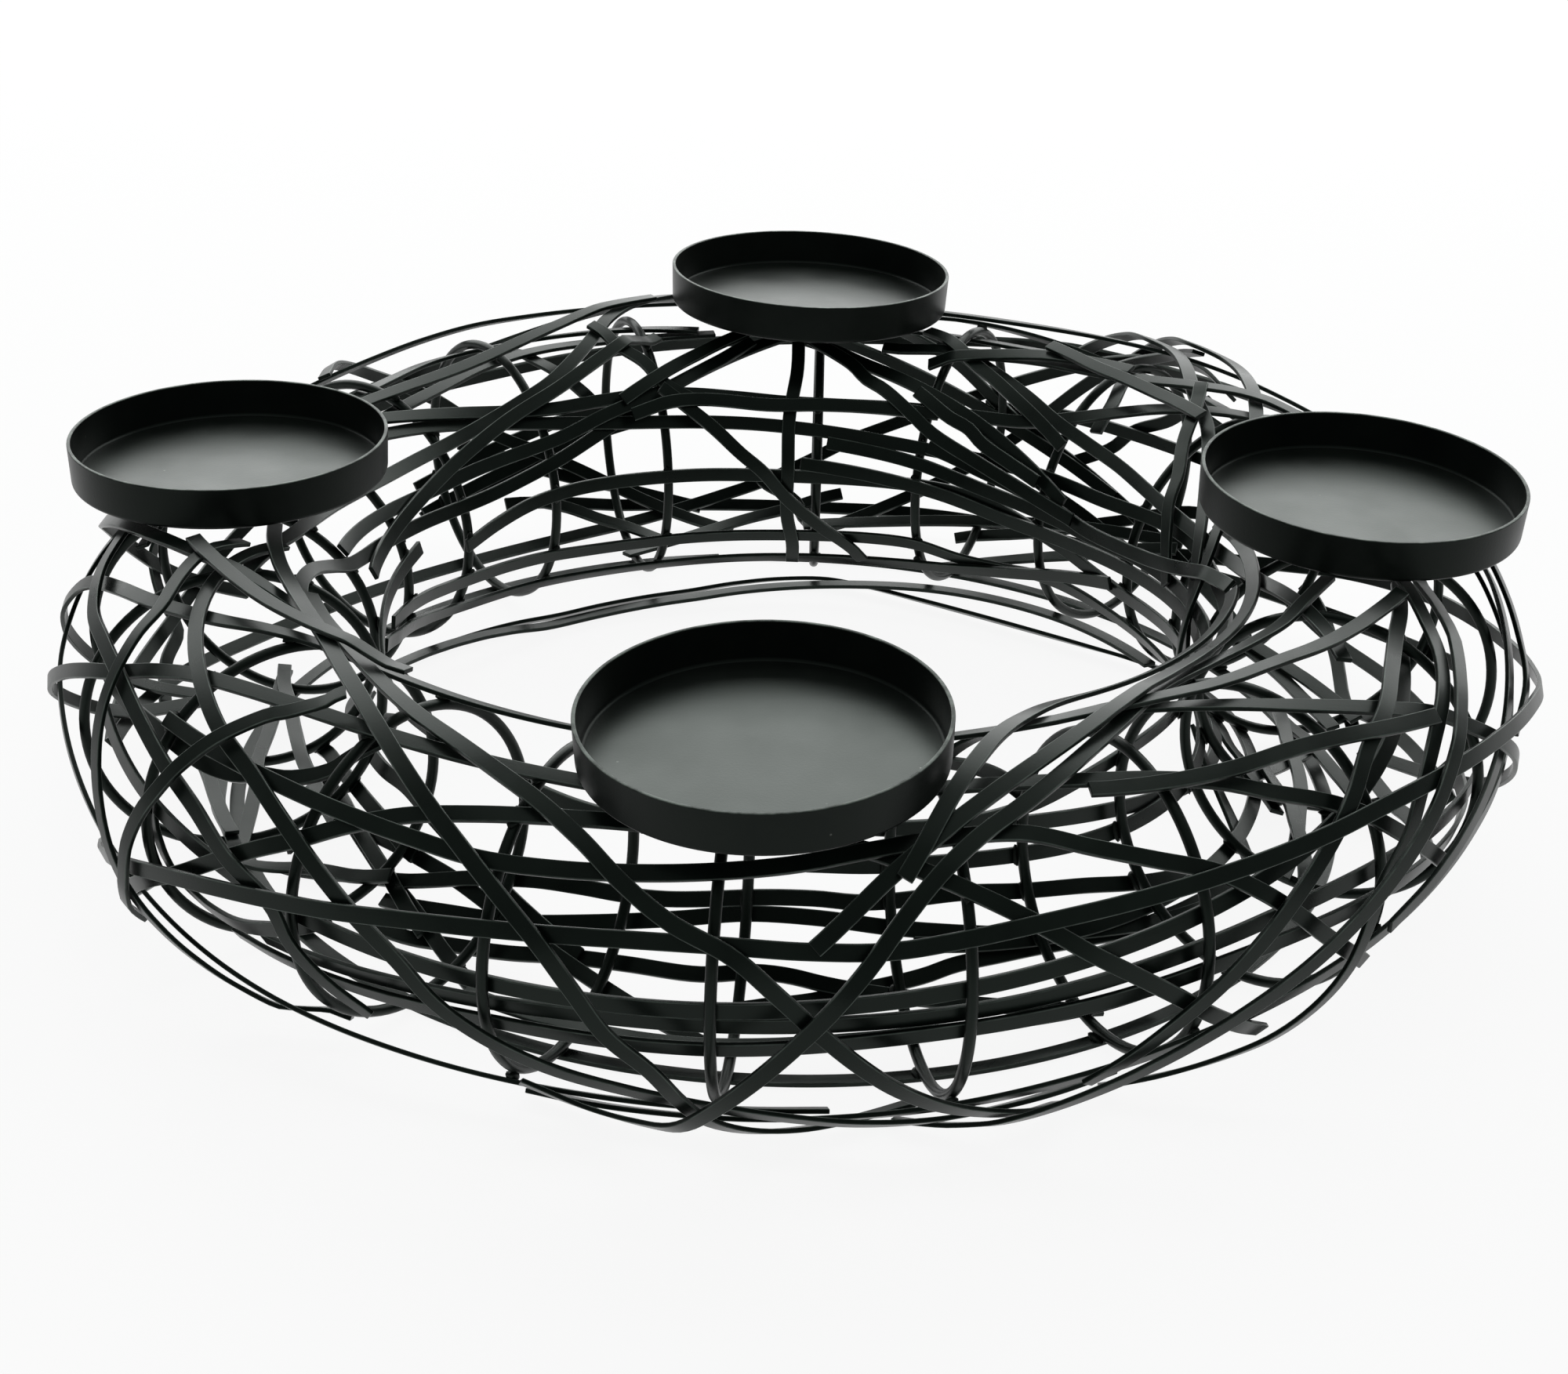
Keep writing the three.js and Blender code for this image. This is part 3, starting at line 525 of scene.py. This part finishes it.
def binding_strip_line(route, layers, level=False):
    """Lays a strip along a route, over all that the layer map holds there."""
    def facing(ring, tube):
        return tube_normals(ring, np.full_like(tube, DOWN) if level else tube)

    turns = np.array([[p[0], p[1], p[2] * MM if len(p) > 2 else 0] for p in route], float)
    scale = np.array([RING_DEGREE, TUBE_DEGREE, 1])
    turns = smooth_through(turns * scale, STRIP_STEP / 4) / scale
    ring, tube, lift = turns.T
    flat = StripLine(tube_points(ring, tube, HOOP_OUTER), facing(ring, tube))
    even = np.linspace(0, flat.length, math.ceil(flat.length / (STRIP_STEP / 2)) + 1)
    ring, tube, lift = (np.interp(even, flat.lengths, v) for v in (ring, tube, lift))
    flat = StripLine(tube_points(ring, tube, HOOP_OUTER), facing(ring, tube))
    height = widened(layers.needed(flat) + lift, EVENING_REACH)
    inner = slice(STIFF_SPAN, -STIFF_SPAN)
    for _ in range(STIFF_ROUNDS):
        drawn = (height[:-2 * STIFF_SPAN] + height[2 * STIFF_SPAN:]) / 2 - STIFF_DIP
        height[inner] = np.maximum(height[inner], drawn)
    height = averaged(height, EVENING_REACH)
    points = tube_points(ring, tube, layers.radius(height))
    low, high = (np.array(corner) - CENTRE for corner in cad_box)
    points = np.minimum(points, high - BOX_MARGIN)
    points = np.maximum(points, low + BOX_MARGIN)
    return StripLine(points, facing(ring, tube))


def new_piece(name, bm, material, stands_for=None):
    """A finished piece of the object, in place of a solid where it stands for one."""
    mesh = bpy.data.meshes.new(name)
    bm.to_mesh(mesh)
    bm.free()
    for face in mesh.polygons:
        face.use_smooth = True
    piece = bpy.data.objects.new(name, mesh)
    bpy.context.scene.collection.objects.link(piece)
    mesh.materials.append(material)
    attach(piece, "root")
    if stands_for:
        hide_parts(stands_for)
    return piece


def even_shading(piece):
    """Shades the broad faces flat, and only the rounded edges as round."""
    shading = piece.modifiers.new("even_shading", "WEIGHTED_NORMAL")
    shading.keep_sharp = True
    shading.weight = 60


def flat_bar(length):
    """A straight flat bar along X with its edges rounded."""
    bm = bmesh.new()
    bmesh.ops.create_cube(bm, size=1)
    bmesh.ops.scale(bm, vec=(length, STRIP_WIDTH, STRIP_THICKNESS), verts=bm.verts)
    bmesh.ops.translate(bm, vec=(length / 2, 0, 0), verts=bm.verts)
    bmesh.ops.bevel(bm, geom=bm.edges[:], offset=STRIP_EDGE, segments=2, profile=0.5,
        affect="EDGES", material=-1)
    long_edges = [e for e in bm.edges if abs(e.verts[0].co.x - e.verts[1].co.x) > length / 2]
    cuts = max(3, math.ceil(length / STRIP_STEP))
    bmesh.ops.subdivide_edges(bm, edges=long_edges, cuts=cuts, use_grid_fill=True)
    return bm


def make_strip(name, line, material, stands_for=None):
    """A flat bar bent along a line. It keeps its straight shape for its paint."""
    bm = flat_bar(line.length)
    layer = bm.verts.layers.float_vector.new("bar")
    bar = np.array([v.co for v in bm.verts])
    bent = line.bend(bar) + CENTRE
    for vert, straight, place in zip(bm.verts, bar, bent):
        vert[layer] = straight
        vert.co = place
    bmesh.ops.recalc_face_normals(bm, faces=bm.faces)
    even_shading(new_piece(name, bm, material, stands_for))


def weld_bead(bm, place, along, out, size, seed):
    """A small uneven bead of weld metal."""
    found = bmesh.ops.create_icosphere(bm, subdivisions=2, radius=1)["verts"]
    side = np.cross(out, along)
    turn = Matrix([list(along), list(side), list(out)]).transposed()
    for vert in found:
        shift = Vector((seed * 3.1, seed * 1.7, seed))
        swell = 1 + BEAD_LUMPS * noise.noise(vert.co * BEAD_LUMP_SCALE + shift)
        co = Vector(c * s for c, s in zip(vert.co * swell, size))
        vert.co = turn @ co + Vector(place)


def make_hoop(index, material):
    """A round wire bent into a hoop, standing across the ring."""
    bm = bmesh.new()
    bmesh.ops.create_circle(bm, segments=WIRE_SIDES, radius=HOOP_WIRE / 2)
    bmesh.ops.rotate(bm, matrix=Matrix.Rotation(math.radians(90), 3, "X"), verts=bm.verts)
    bmesh.ops.translate(bm, vec=(HOOP_RADIUS, 0, 0), verts=bm.verts)
    bmesh.ops.spin(bm, geom=bm.verts[:] + bm.edges[:], cent=(0, 0, 0), axis=(0, 0, 1),
        angle=math.tau, steps=HOOP_STEPS, use_merge=True)
    bmesh.ops.remove_doubles(bm, verts=bm.verts, dist=MERGE)
    bmesh.ops.rotate(bm, matrix=Matrix.Rotation(math.radians(90), 3, "X"), verts=bm.verts)
    angle, turn = (math.radians(value) for value in HOOPS[index])
    bmesh.ops.rotate(bm, matrix=Matrix.Rotation(turn, 3, "Z"), verts=bm.verts)
    bmesh.ops.translate(bm, vec=(RING_RADIUS, 0, 0), verts=bm.verts)
    bmesh.ops.rotate(bm, matrix=Matrix.Rotation(angle, 3, "Z"), verts=bm.verts)
    bmesh.ops.translate(bm, vec=CENTRE, verts=bm.verts)
    bmesh.ops.recalc_face_normals(bm, faces=bm.faces)
    node = f"hoop_{index + 1:02d}"
    new_piece(f"wire_{node}", bm, material, node)


def plate_matrix(name):
    """Takes a plate from the origin to its seat on the ring, with its lean."""
    angle, outward, sideways = PLATES[name]
    return (
        Matrix.Translation(CENTRE)
        @ Matrix.Rotation(math.radians(angle), 4, "Z")
        @ Matrix.Translation((RING_RADIUS, 0, PLATE_SEAT))
        @ Matrix.Rotation(math.radians(-sideways), 4, "X")
        @ Matrix.Rotation(math.radians(outward), 4, "Y")
    )


def make_plate(name, material):
    """A shallow pan of pressed sheet with a rounded foot and a thin rim."""
    outline = [
        (0, 0),
        (PLATE_BASE, 0),
        (PLATE_RIM, PLATE_HEIGHT),
        (PLATE_RIM - PLATE_SHEET, PLATE_HEIGHT),
        (PLATE_BASE - PLATE_SHEET, PLATE_SHEET),
        (0, PLATE_SHEET),
    ]
    bm = bmesh.new()
    verts = [bm.verts.new((x, 0, z)) for x, z in outline]
    for first, second in zip(verts, verts[1:]):
        bm.edges.new((first, second))
    for index, offset in PLATE_ROUNDING.items():
        bmesh.ops.bevel(bm, geom=[verts[index]], offset=offset, segments=5, profile=0.5,
            affect="VERTICES", material=-1)
    bmesh.ops.spin(bm, geom=bm.verts[:] + bm.edges[:], cent=(0, 0, 0), axis=(0, 0, 1),
        angle=math.tau, steps=PLATE_STEPS, use_merge=True)
    bmesh.ops.remove_doubles(bm, verts=bm.verts, dist=PLATE_MERGE)
    layer = bm.verts.layers.float_vector.new("pan")
    for vert in bm.verts:
        vert[layer] = vert.co
    bmesh.ops.transform(bm, matrix=plate_matrix(name), verts=bm.verts)
    bmesh.ops.recalc_face_normals(bm, faces=bm.faces)
    even_shading(new_piece(f"pan_{name}", bm, material, f"candle_plate_{name}"))


def make_peg(name, material):
    """The stub under a plate, thick with weld where it meets wire and plate."""
    low, high = (np.array(c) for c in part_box(f"plate_peg_{name}"))
    middle = (low + high) / 2
    height = high[2] - low[2]
    bm = bmesh.new()
    bmesh.ops.create_cone(bm, cap_ends=True, segments=STUB_SIDES, radius1=STUB_RADIUS,
        radius2=STUB_RADIUS, depth=height + STUB_BITE)
    sides = [e for e in bm.edges if abs(e.verts[0].co.z - e.verts[1].co.z) > height / 2]
    bmesh.ops.subdivide_edges(bm, edges=sides, cuts=STUB_CUTS, use_grid_fill=True)
    for vert in bm.verts:
        share = min(1, abs(vert.co.z) / (height / 2))
        shift = Vector((7.3, PLATES[name][0], 0))
        rough = 1 + STUB_LUMPS * noise.noise(vert.co * STUB_LUMP_SCALE + shift)
        waist = (STUB_WAIST + STUB_FLARE * share ** STUB_FLARE_CURVE) * rough
        vert.co.x *= waist
        vert.co.y *= waist
    bmesh.ops.translate(bm, vec=middle, verts=bm.verts)
    bmesh.ops.recalc_face_normals(bm, faces=bm.faces)
    new_piece(f"stub_{name}", bm, material, f"plate_peg_{name}")


def strip_welds(lines, material):
    """Beads where an outside strip lies close over a hoop."""
    bm = bmesh.new()
    seed = 0
    for line in lines:
        ring, tube, radius = tube_places(line.points)
        for angle, turn in HOOPS:
            outward = HOOP_RADIUS * np.cos(radians(tube))
            swing = degrees(outward * math.sin(math.radians(turn)) / (RING_RADIUS + outward))
            offset = (ring - angle - swing + 180) % 360 - 180
            crosses = (offset[:-1] * offset[1:] <= 0) & (abs(offset[:-1]) < NEAR_HOOP)
            for i in np.nonzero(crosses)[0]:
                gap = radius[i] - STRIP_THICKNESS / 2 - HOOP_OUTER
                if not WELD_GAPS[0] < gap < WELD_GAPS[1]:
                    continue
                seed += 1
                middle = tube_points(ring[i], tube[i], HOOP_OUTER + gap / 2)
                out = tube_normals(ring[i], tube[i])
                around = tube_points(ring[i], tube[i] + 0.5, HOOP_OUTER) - tube_points(
                    ring[i], tube[i] - 0.5, HOOP_OUTER)
                size = (BEAD_REACH, BEAD_SIDE, BEAD_DEPTH + gap / 2)
                weld_bead(bm, middle + CENTRE, unit(around), out, size, seed)
    bmesh.ops.recalc_face_normals(bm, faces=bm.faces)
    new_piece("strip_to_hoop_welds", bm, material)


# Materials.


NOISE_ROUGHNESS = 0.55


class Nodes:
    """A material's node tree, built up step by step."""

    def __init__(self, name):
        self.material = bpy.data.materials.new(name)
        self.material.use_nodes = True
        self.tree = self.material.node_tree
        self.shader = self.tree.nodes["Principled BSDF"]

    def add(self, kind, inputs=None, **settings):
        node = self.tree.nodes.new(kind)
        for key, value in settings.items():
            setattr(node, key, value)
        for key, value in (inputs or {}).items():
            self.put(node.inputs[key], value)
        return node

    def put(self, socket, value):
        """Links a socket to another, or sets it to a plain value."""
        if isinstance(value, bpy.types.NodeSocket):
            self.tree.links.new(value, socket)
        else:
            socket.default_value = value

    def linked(self, key):
        """What one of the shader's sockets is linked to so far."""
        return self.shader.inputs[key].links[0].from_socket

    def place(self):
        return self.add("ShaderNodeTexCoord").outputs["Object"]

    def noise(self, scale, detail, where=None):
        return self.add("ShaderNodeTexNoise", {
            "Vector": self.place() if where is None else where,
            "Scale": scale, "Detail": detail, "Roughness": NOISE_ROUGHNESS,
        }).outputs["Fac"]

    def span(self, value, low, high, to_low=0.0, to_high=1.0):
        """Takes the values from low to high to those from to_low to to_high."""
        return self.add("ShaderNodeMapRange", {
            "Value": value, "From Min": low, "From Max": high,
            "To Min": to_low, "To Max": to_high,
        }, clamp=True).outputs[0]

    def calculate(self, operation, first, second):
        return self.add("ShaderNodeMath", {0: first, 1: second}, operation=operation).outputs[0]

    def mix(self, share, first, second):
        """A mix of two colours, whose sockets on this node are numbers 6 and 7."""
        return self.add("ShaderNodeMix", {
            "Factor": share, 6: first, 7: second,
        }, data_type="RGBA").outputs[2]

    def bump(self, height, strength, distance, normal=None):
        node = self.add("ShaderNodeBump", {
            "Height": height, "Strength": strength, "Distance": distance,
        })
        if normal is not None:
            self.put(node.inputs["Normal"], normal)
        return node.outputs[0]


def shade(*screen):
    """A colour from its screen values of 0 to 255, by the sRGB curve."""
    return tuple(
        c / 255 / 12.92 if c <= 10 else ((c / 255 + 0.055) / 1.055) ** 2.4 for c in screen
    ) + (1.0,)


SHEEN = shade(236, 255, 243)
BLACK = shade(9, 14, 12)
BLACK_PALE = shade(17, 23, 20)
WELD_BLACK = shade(10, 12, 11)
WELD_PALE = shade(26, 29, 26)
PLATE_BLACK = shade(12, 15, 14)
PLATE_PALE = shade(20, 23, 21)
# A painted highlight: the pale grey painted along the strips' rounded edges.
EDGE_HIGHLIGHT = shade(96, 104, 99)
# The pale grey along the top of a plate's rim.
LIP_PALE = shade(122, 130, 124)
DUST = shade(150, 152, 146)

# Gloss of the paint on strips, wires and welds, and on a plate's walls and floor.
PAINT_GLOSS = 0.18
WALL_GLOSS = 0.12
FLOOR_GLOSS = 0.5

# Scales of the patterns, in waves per metre, and how deep the bumps are.
CLOUD_SCALE = 55
PEEL_SCALE = 1500
PEEL_DEPTH = 0.06 * MM
WEAR_SCALE = 130
ROLLING_SCALE = (30, 1400, 1400)
ROLLING_DEPTH = 0.05 * MM
LUMP_SCALE = 420
LUMP_DEPTH = 0.3 * MM
SPECK_SCALE = 95
DUST_SCALE = 40
LIP_SCALE = 160


def satin_black(name, base, pale, rough, peel):
    """Satin black paint with fine orange peel and a cloudy tone and gloss."""
    n = Nodes(name)
    cloud = n.noise(CLOUD_SCALE, 4)
    grain = n.noise(PEEL_SCALE, 2)
    n.put(n.shader.inputs["Base Color"], n.mix(n.span(cloud, 0.35, 0.7), base, pale))
    n.put(n.shader.inputs["Roughness"], n.span(cloud, 0.3, 0.7, rough - 0.04, rough + 0.05))
    n.put(n.shader.inputs["Normal"], n.bump(grain, peel, PEEL_DEPTH))
    n.put(n.shader.inputs["Specular IOR Level"], PAINT_GLOSS)
    n.put(n.shader.inputs["Specular Tint"], SHEEN)
    return n


def strip_paint():
    """Paint with a painted highlight in patches along the edges, over faint marks of rolling."""
    n = satin_black("satin black strip paint", BLACK, BLACK_PALE, rough=0.3, peel=0.22)
    bar = n.add("ShaderNodeAttribute", attribute_name="bar").outputs["Vector"]
    parts = n.add("ShaderNodeSeparateXYZ", {0: bar}).outputs
    across = n.calculate("ABSOLUTE", parts["Y"], 0.0)
    deep = n.calculate("ABSOLUTE", parts["Z"], 0.0)
    edge = n.calculate("MULTIPLY",
        n.span(across, STRIP_WIDTH / 2 - 0.34 * MM, STRIP_WIDTH / 2 - 0.1 * MM),
        n.span(deep, STRIP_THICKNESS / 2 - 0.3 * MM, STRIP_THICKNESS / 2 - 0.06 * MM))
    # Painted highlight: the bar's rounded corners are painted pale grey in patches.
    edge_highlight = n.calculate("MULTIPLY", edge, n.span(n.noise(WEAR_SCALE, 4), 0.35, 0.65, 0.25, 1.0))
    n.put(n.shader.inputs["Base Color"], n.mix(edge_highlight, n.linked("Base Color"), EDGE_HIGHLIGHT))
    rolled = n.add("ShaderNodeMapping", {"Vector": bar, "Scale": ROLLING_SCALE}).outputs[0]
    marks = n.noise(1.0, 3, where=rolled)
    n.put(n.shader.inputs["Normal"], n.bump(marks, 0.18, ROLLING_DEPTH, n.linked("Normal")))
    return n.material


def wire_paint():
    n = satin_black("satin black wire paint", BLACK, BLACK_PALE, rough=0.36, peel=0.25)
    return n.material


def weld_paint():
    """Matt paint over lumpy weld metal."""
    n = satin_black("matt weld paint", WELD_BLACK, WELD_PALE, rough=0.46, peel=0.3)
    lumps = n.noise(LUMP_SCALE, 4)
    n.put(n.shader.inputs["Normal"], n.bump(lumps, 0.5, LUMP_DEPTH, n.linked("Normal")))
    return n.material


def plate_paint():
    """Paint with specks of dust, a glossier floor and a lip that is paler in patches."""
    n = satin_black("satin black plate paint", PLATE_BLACK, PLATE_PALE, rough=0.34, peel=0.3)
    cells = n.add("ShaderNodeTexVoronoi", {"Vector": n.place(), "Scale": SPECK_SCALE})
    speck = n.span(cells.outputs["Distance"], 0.035, 0.02)
    dusty = n.calculate("MULTIPLY", speck, n.span(n.noise(DUST_SCALE, 1), 0.52, 0.6))
    base = n.mix(dusty, n.linked("Base Color"), DUST)
    pan = n.add("ShaderNodeAttribute", attribute_name="pan").outputs["Vector"]
    height = n.add("ShaderNodeSeparateXYZ", {0: pan}).outputs["Z"]
    level = n.add("ShaderNodeVectorMath", {0: pan, 1: (1, 1, 0)}, operation="MULTIPLY").outputs[0]
    reach = n.add("ShaderNodeVectorMath", {0: level}, operation="LENGTH").outputs["Value"]
    floor = n.calculate("MULTIPLY", n.span(height, 0.5 * PLATE_SHEET, 0.7 * PLATE_SHEET),
        n.span(reach, PLATE_BASE - 1.6 * MM, PLATE_BASE - 2.2 * MM))
    n.put(n.shader.inputs["Specular IOR Level"], n.span(floor, 0, 1, WALL_GLOSS, FLOOR_GLOSS))
    # The top of the rim is paler in patches.
    lip = n.span(height, PLATE_HEIGHT - 0.22 * MM, PLATE_HEIGHT - 0.04 * MM)
    lip = n.calculate("MULTIPLY", lip, n.span(n.noise(LIP_SCALE, 5), 0.42, 0.6, 0.2, 0.8))
    n.put(n.shader.inputs["Base Color"], n.mix(lip, base, LIP_PALE))
    return n.material


# The ground's own colour, and how much of what is seen of it is plain white.
GROUND_COLOUR = (0.8, 0.8, 0.8, 1)
GROUND_WHITE = 0.9


def white_ground():
    """Plain ground that is white to the eye, and keeps a soft shadow."""
    n = Nodes("white floor")
    n.put(n.shader.inputs["Base Color"], GROUND_COLOUR)
    n.put(n.shader.inputs["Roughness"], 0.9)
    n.put(n.shader.inputs["Specular IOR Level"], 0.0)
    rays = n.add("ShaderNodeLightPath").outputs
    seen = n.calculate("MAXIMUM", rays["Is Camera Ray"], rays["Is Glossy Ray"])
    seen = n.calculate("MAXIMUM", seen, rays["Is Transmission Ray"])
    white = n.add("ShaderNodeEmission", {"Color": (1, 1, 1, 1), "Strength": 1.0}).outputs[0]
    share = n.calculate("MULTIPLY", seen, GROUND_WHITE)
    both = n.add("ShaderNodeMixShader", {0: share, 1: n.shader.outputs[0], 2: white})
    n.put(n.tree.nodes["Material Output"].inputs["Surface"], both.outputs[0])
    return n.material


# The pieces. The solids' own strips are laid first, and the others over them.
strip_finish = strip_paint()
wire_finish = wire_paint()
weld_finish = weld_paint()
plate_finish = plate_paint()

for index in range(len(HOOPS)):
    make_hoop(index, wire_finish)

maps = {side: LayerMap(side) for side in (OUTSIDE, INSIDE)}
outer_lines = []


def lay_strip(name, side, line, stands_for=None):
    """Makes a strip, and notes where it lies for those laid after it."""
    maps[side].stamp(line)
    if side == OUTSIDE:
        outer_lines.append(line)
    make_strip(name, line, strip_finish, stands_for)


for node in sorted(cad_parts):
    if node.startswith("strip_"):
        line = frame_strip_line(node)
        _, _, radius = tube_places(line.points)
        side = OUTSIDE if radius.mean() > HOOP_RADIUS else INSIDE
        lay_strip(node.replace("strip_", "flat_"), side, line, node)

for name, side, route in BINDING_STRIPS:
    line = binding_strip_line(route, maps[side], name in LEVEL_STRIPS)
    lay_strip(f"binding_{name}", side, line)

strip_welds(outer_lines, weld_finish)

for name in PLATES:
    make_plate(name, plate_finish)
    make_peg(name, weld_finish)

# Floor, light and camera.
FLOOR_SIZE = 30
FLOOR_DROP = 0.05 * MM


def make_floor():
    """A wide floor just under the object."""
    bm = bmesh.new()
    bmesh.ops.create_grid(bm, x_segments=2, y_segments=2, size=FLOOR_SIZE / 2)
    bmesh.ops.translate(bm, vec=(0, 0, -FLOOR_DROP), verts=bm.verts)
    mesh = bpy.data.meshes.new("floor")
    bm.to_mesh(mesh)
    bm.free()
    floor = bpy.data.objects.new("floor", mesh)
    bpy.context.scene.collection.objects.link(floor)
    mesh.materials.append(white_ground())


ORIGIN = Vector((0, 0, 0))


def area_lamp(name, place, size, watts):
    """A rectangular lamp that points at the origin."""
    data = bpy.data.lights.new(name, "AREA")
    data.shape = "RECTANGLE"
    data.size, data.size_y = size
    data.energy = watts
    lamp = bpy.data.objects.new(name, data)
    lamp.location = place
    lamp.rotation_euler = (ORIGIN - Vector(place)).to_track_quat("-Z", "Y").to_euler()
    bpy.context.scene.collection.objects.link(lamp)


# The studio's own light, which is faintly green, as the photograph's is.
STUDIO_COLOUR = (0.93, 1.0, 0.97, 1)
STUDIO_STRENGTH = 0.3


def make_world():
    """Even light from all sides, behind which the camera sees plain white."""
    world = bpy.data.worlds.new("studio")
    world.use_nodes = True
    tree = world.node_tree
    light = tree.nodes["Background"]
    light.inputs["Color"].default_value = STUDIO_COLOUR
    light.inputs["Strength"].default_value = STUDIO_STRENGTH
    seen = tree.nodes.new("ShaderNodeBackground")
    seen.inputs["Color"].default_value = (1, 1, 1, 1)
    seen.inputs["Strength"].default_value = 1.0
    rays = tree.nodes.new("ShaderNodeLightPath")
    either = tree.nodes.new("ShaderNodeMath")
    either.operation = "MAXIMUM"
    tree.links.new(rays.outputs["Is Camera Ray"], either.inputs[0])
    tree.links.new(rays.outputs["Is Transmission Ray"], either.inputs[1])
    choose = tree.nodes.new("ShaderNodeMixShader")
    tree.links.new(either.outputs[0], choose.inputs[0])
    tree.links.new(light.outputs[0], choose.inputs[1])
    tree.links.new(seen.outputs[0], choose.inputs[2])
    tree.links.new(choose.outputs[0], tree.nodes["World Output"].inputs[0])
    bpy.context.scene.world = world


# The camera, as fitted to the plates in the photograph. Its place is in mm from
# the ring's centre, before it swings about the centre.
CAMERA_PLACE = (-21.66, -763.97, 369.5)
CAMERA_SWING = 3.2545
CAMERA_ELEVATION = 26.21
CAMERA_ROLL = -0.832
CAMERA_LENS = 71.574
CAMERA_SENSOR = 36
CAMERA_SHIFT = (0.05, -0.01325)
CAMERA_RANGE = (0.05, 100)


def make_camera():
    """The camera stands where the photograph was taken from."""
    elevation = math.radians(CAMERA_ELEVATION)
    roll = math.radians(CAMERA_ROLL)
    swing = Matrix.Rotation(math.radians(CAMERA_SWING), 3, "Z")
    back = Vector((0, -math.cos(elevation), math.sin(elevation)))
    right = Vector((1, 0, 0))
    up = right.cross(-back)
    turned_right = math.cos(roll) * right - math.sin(roll) * up
    turned_up = math.sin(roll) * right + math.cos(roll) * up
    axes = [swing @ axis for axis in (turned_right, turned_up, back)]
    data = bpy.data.cameras.new("camera")
    data.lens = CAMERA_LENS
    data.sensor_width = CAMERA_SENSOR
    data.shift_x, data.shift_y = CAMERA_SHIFT
    data.clip_start, data.clip_end = CAMERA_RANGE
    camera = bpy.data.objects.new("camera", data)
    place = Vector(CENTRE) + swing @ Vector(CAMERA_PLACE) * MM
    camera.matrix_world = Matrix.Translation(place) @ Matrix(axes).transposed().to_4x4()
    bpy.context.scene.collection.objects.link(camera)
    bpy.context.scene.camera = camera


make_floor()
make_world()
area_lamp("rear softbox", place=(0, 1.6, 1.0), size=(4.4, 1.9), watts=70)
area_lamp("overhead softbox", place=(0, 0, 1.6), size=(1.6, 1.2), watts=3)
make_camera()
bpy.context.scene.view_settings.view_transform = "Standard"
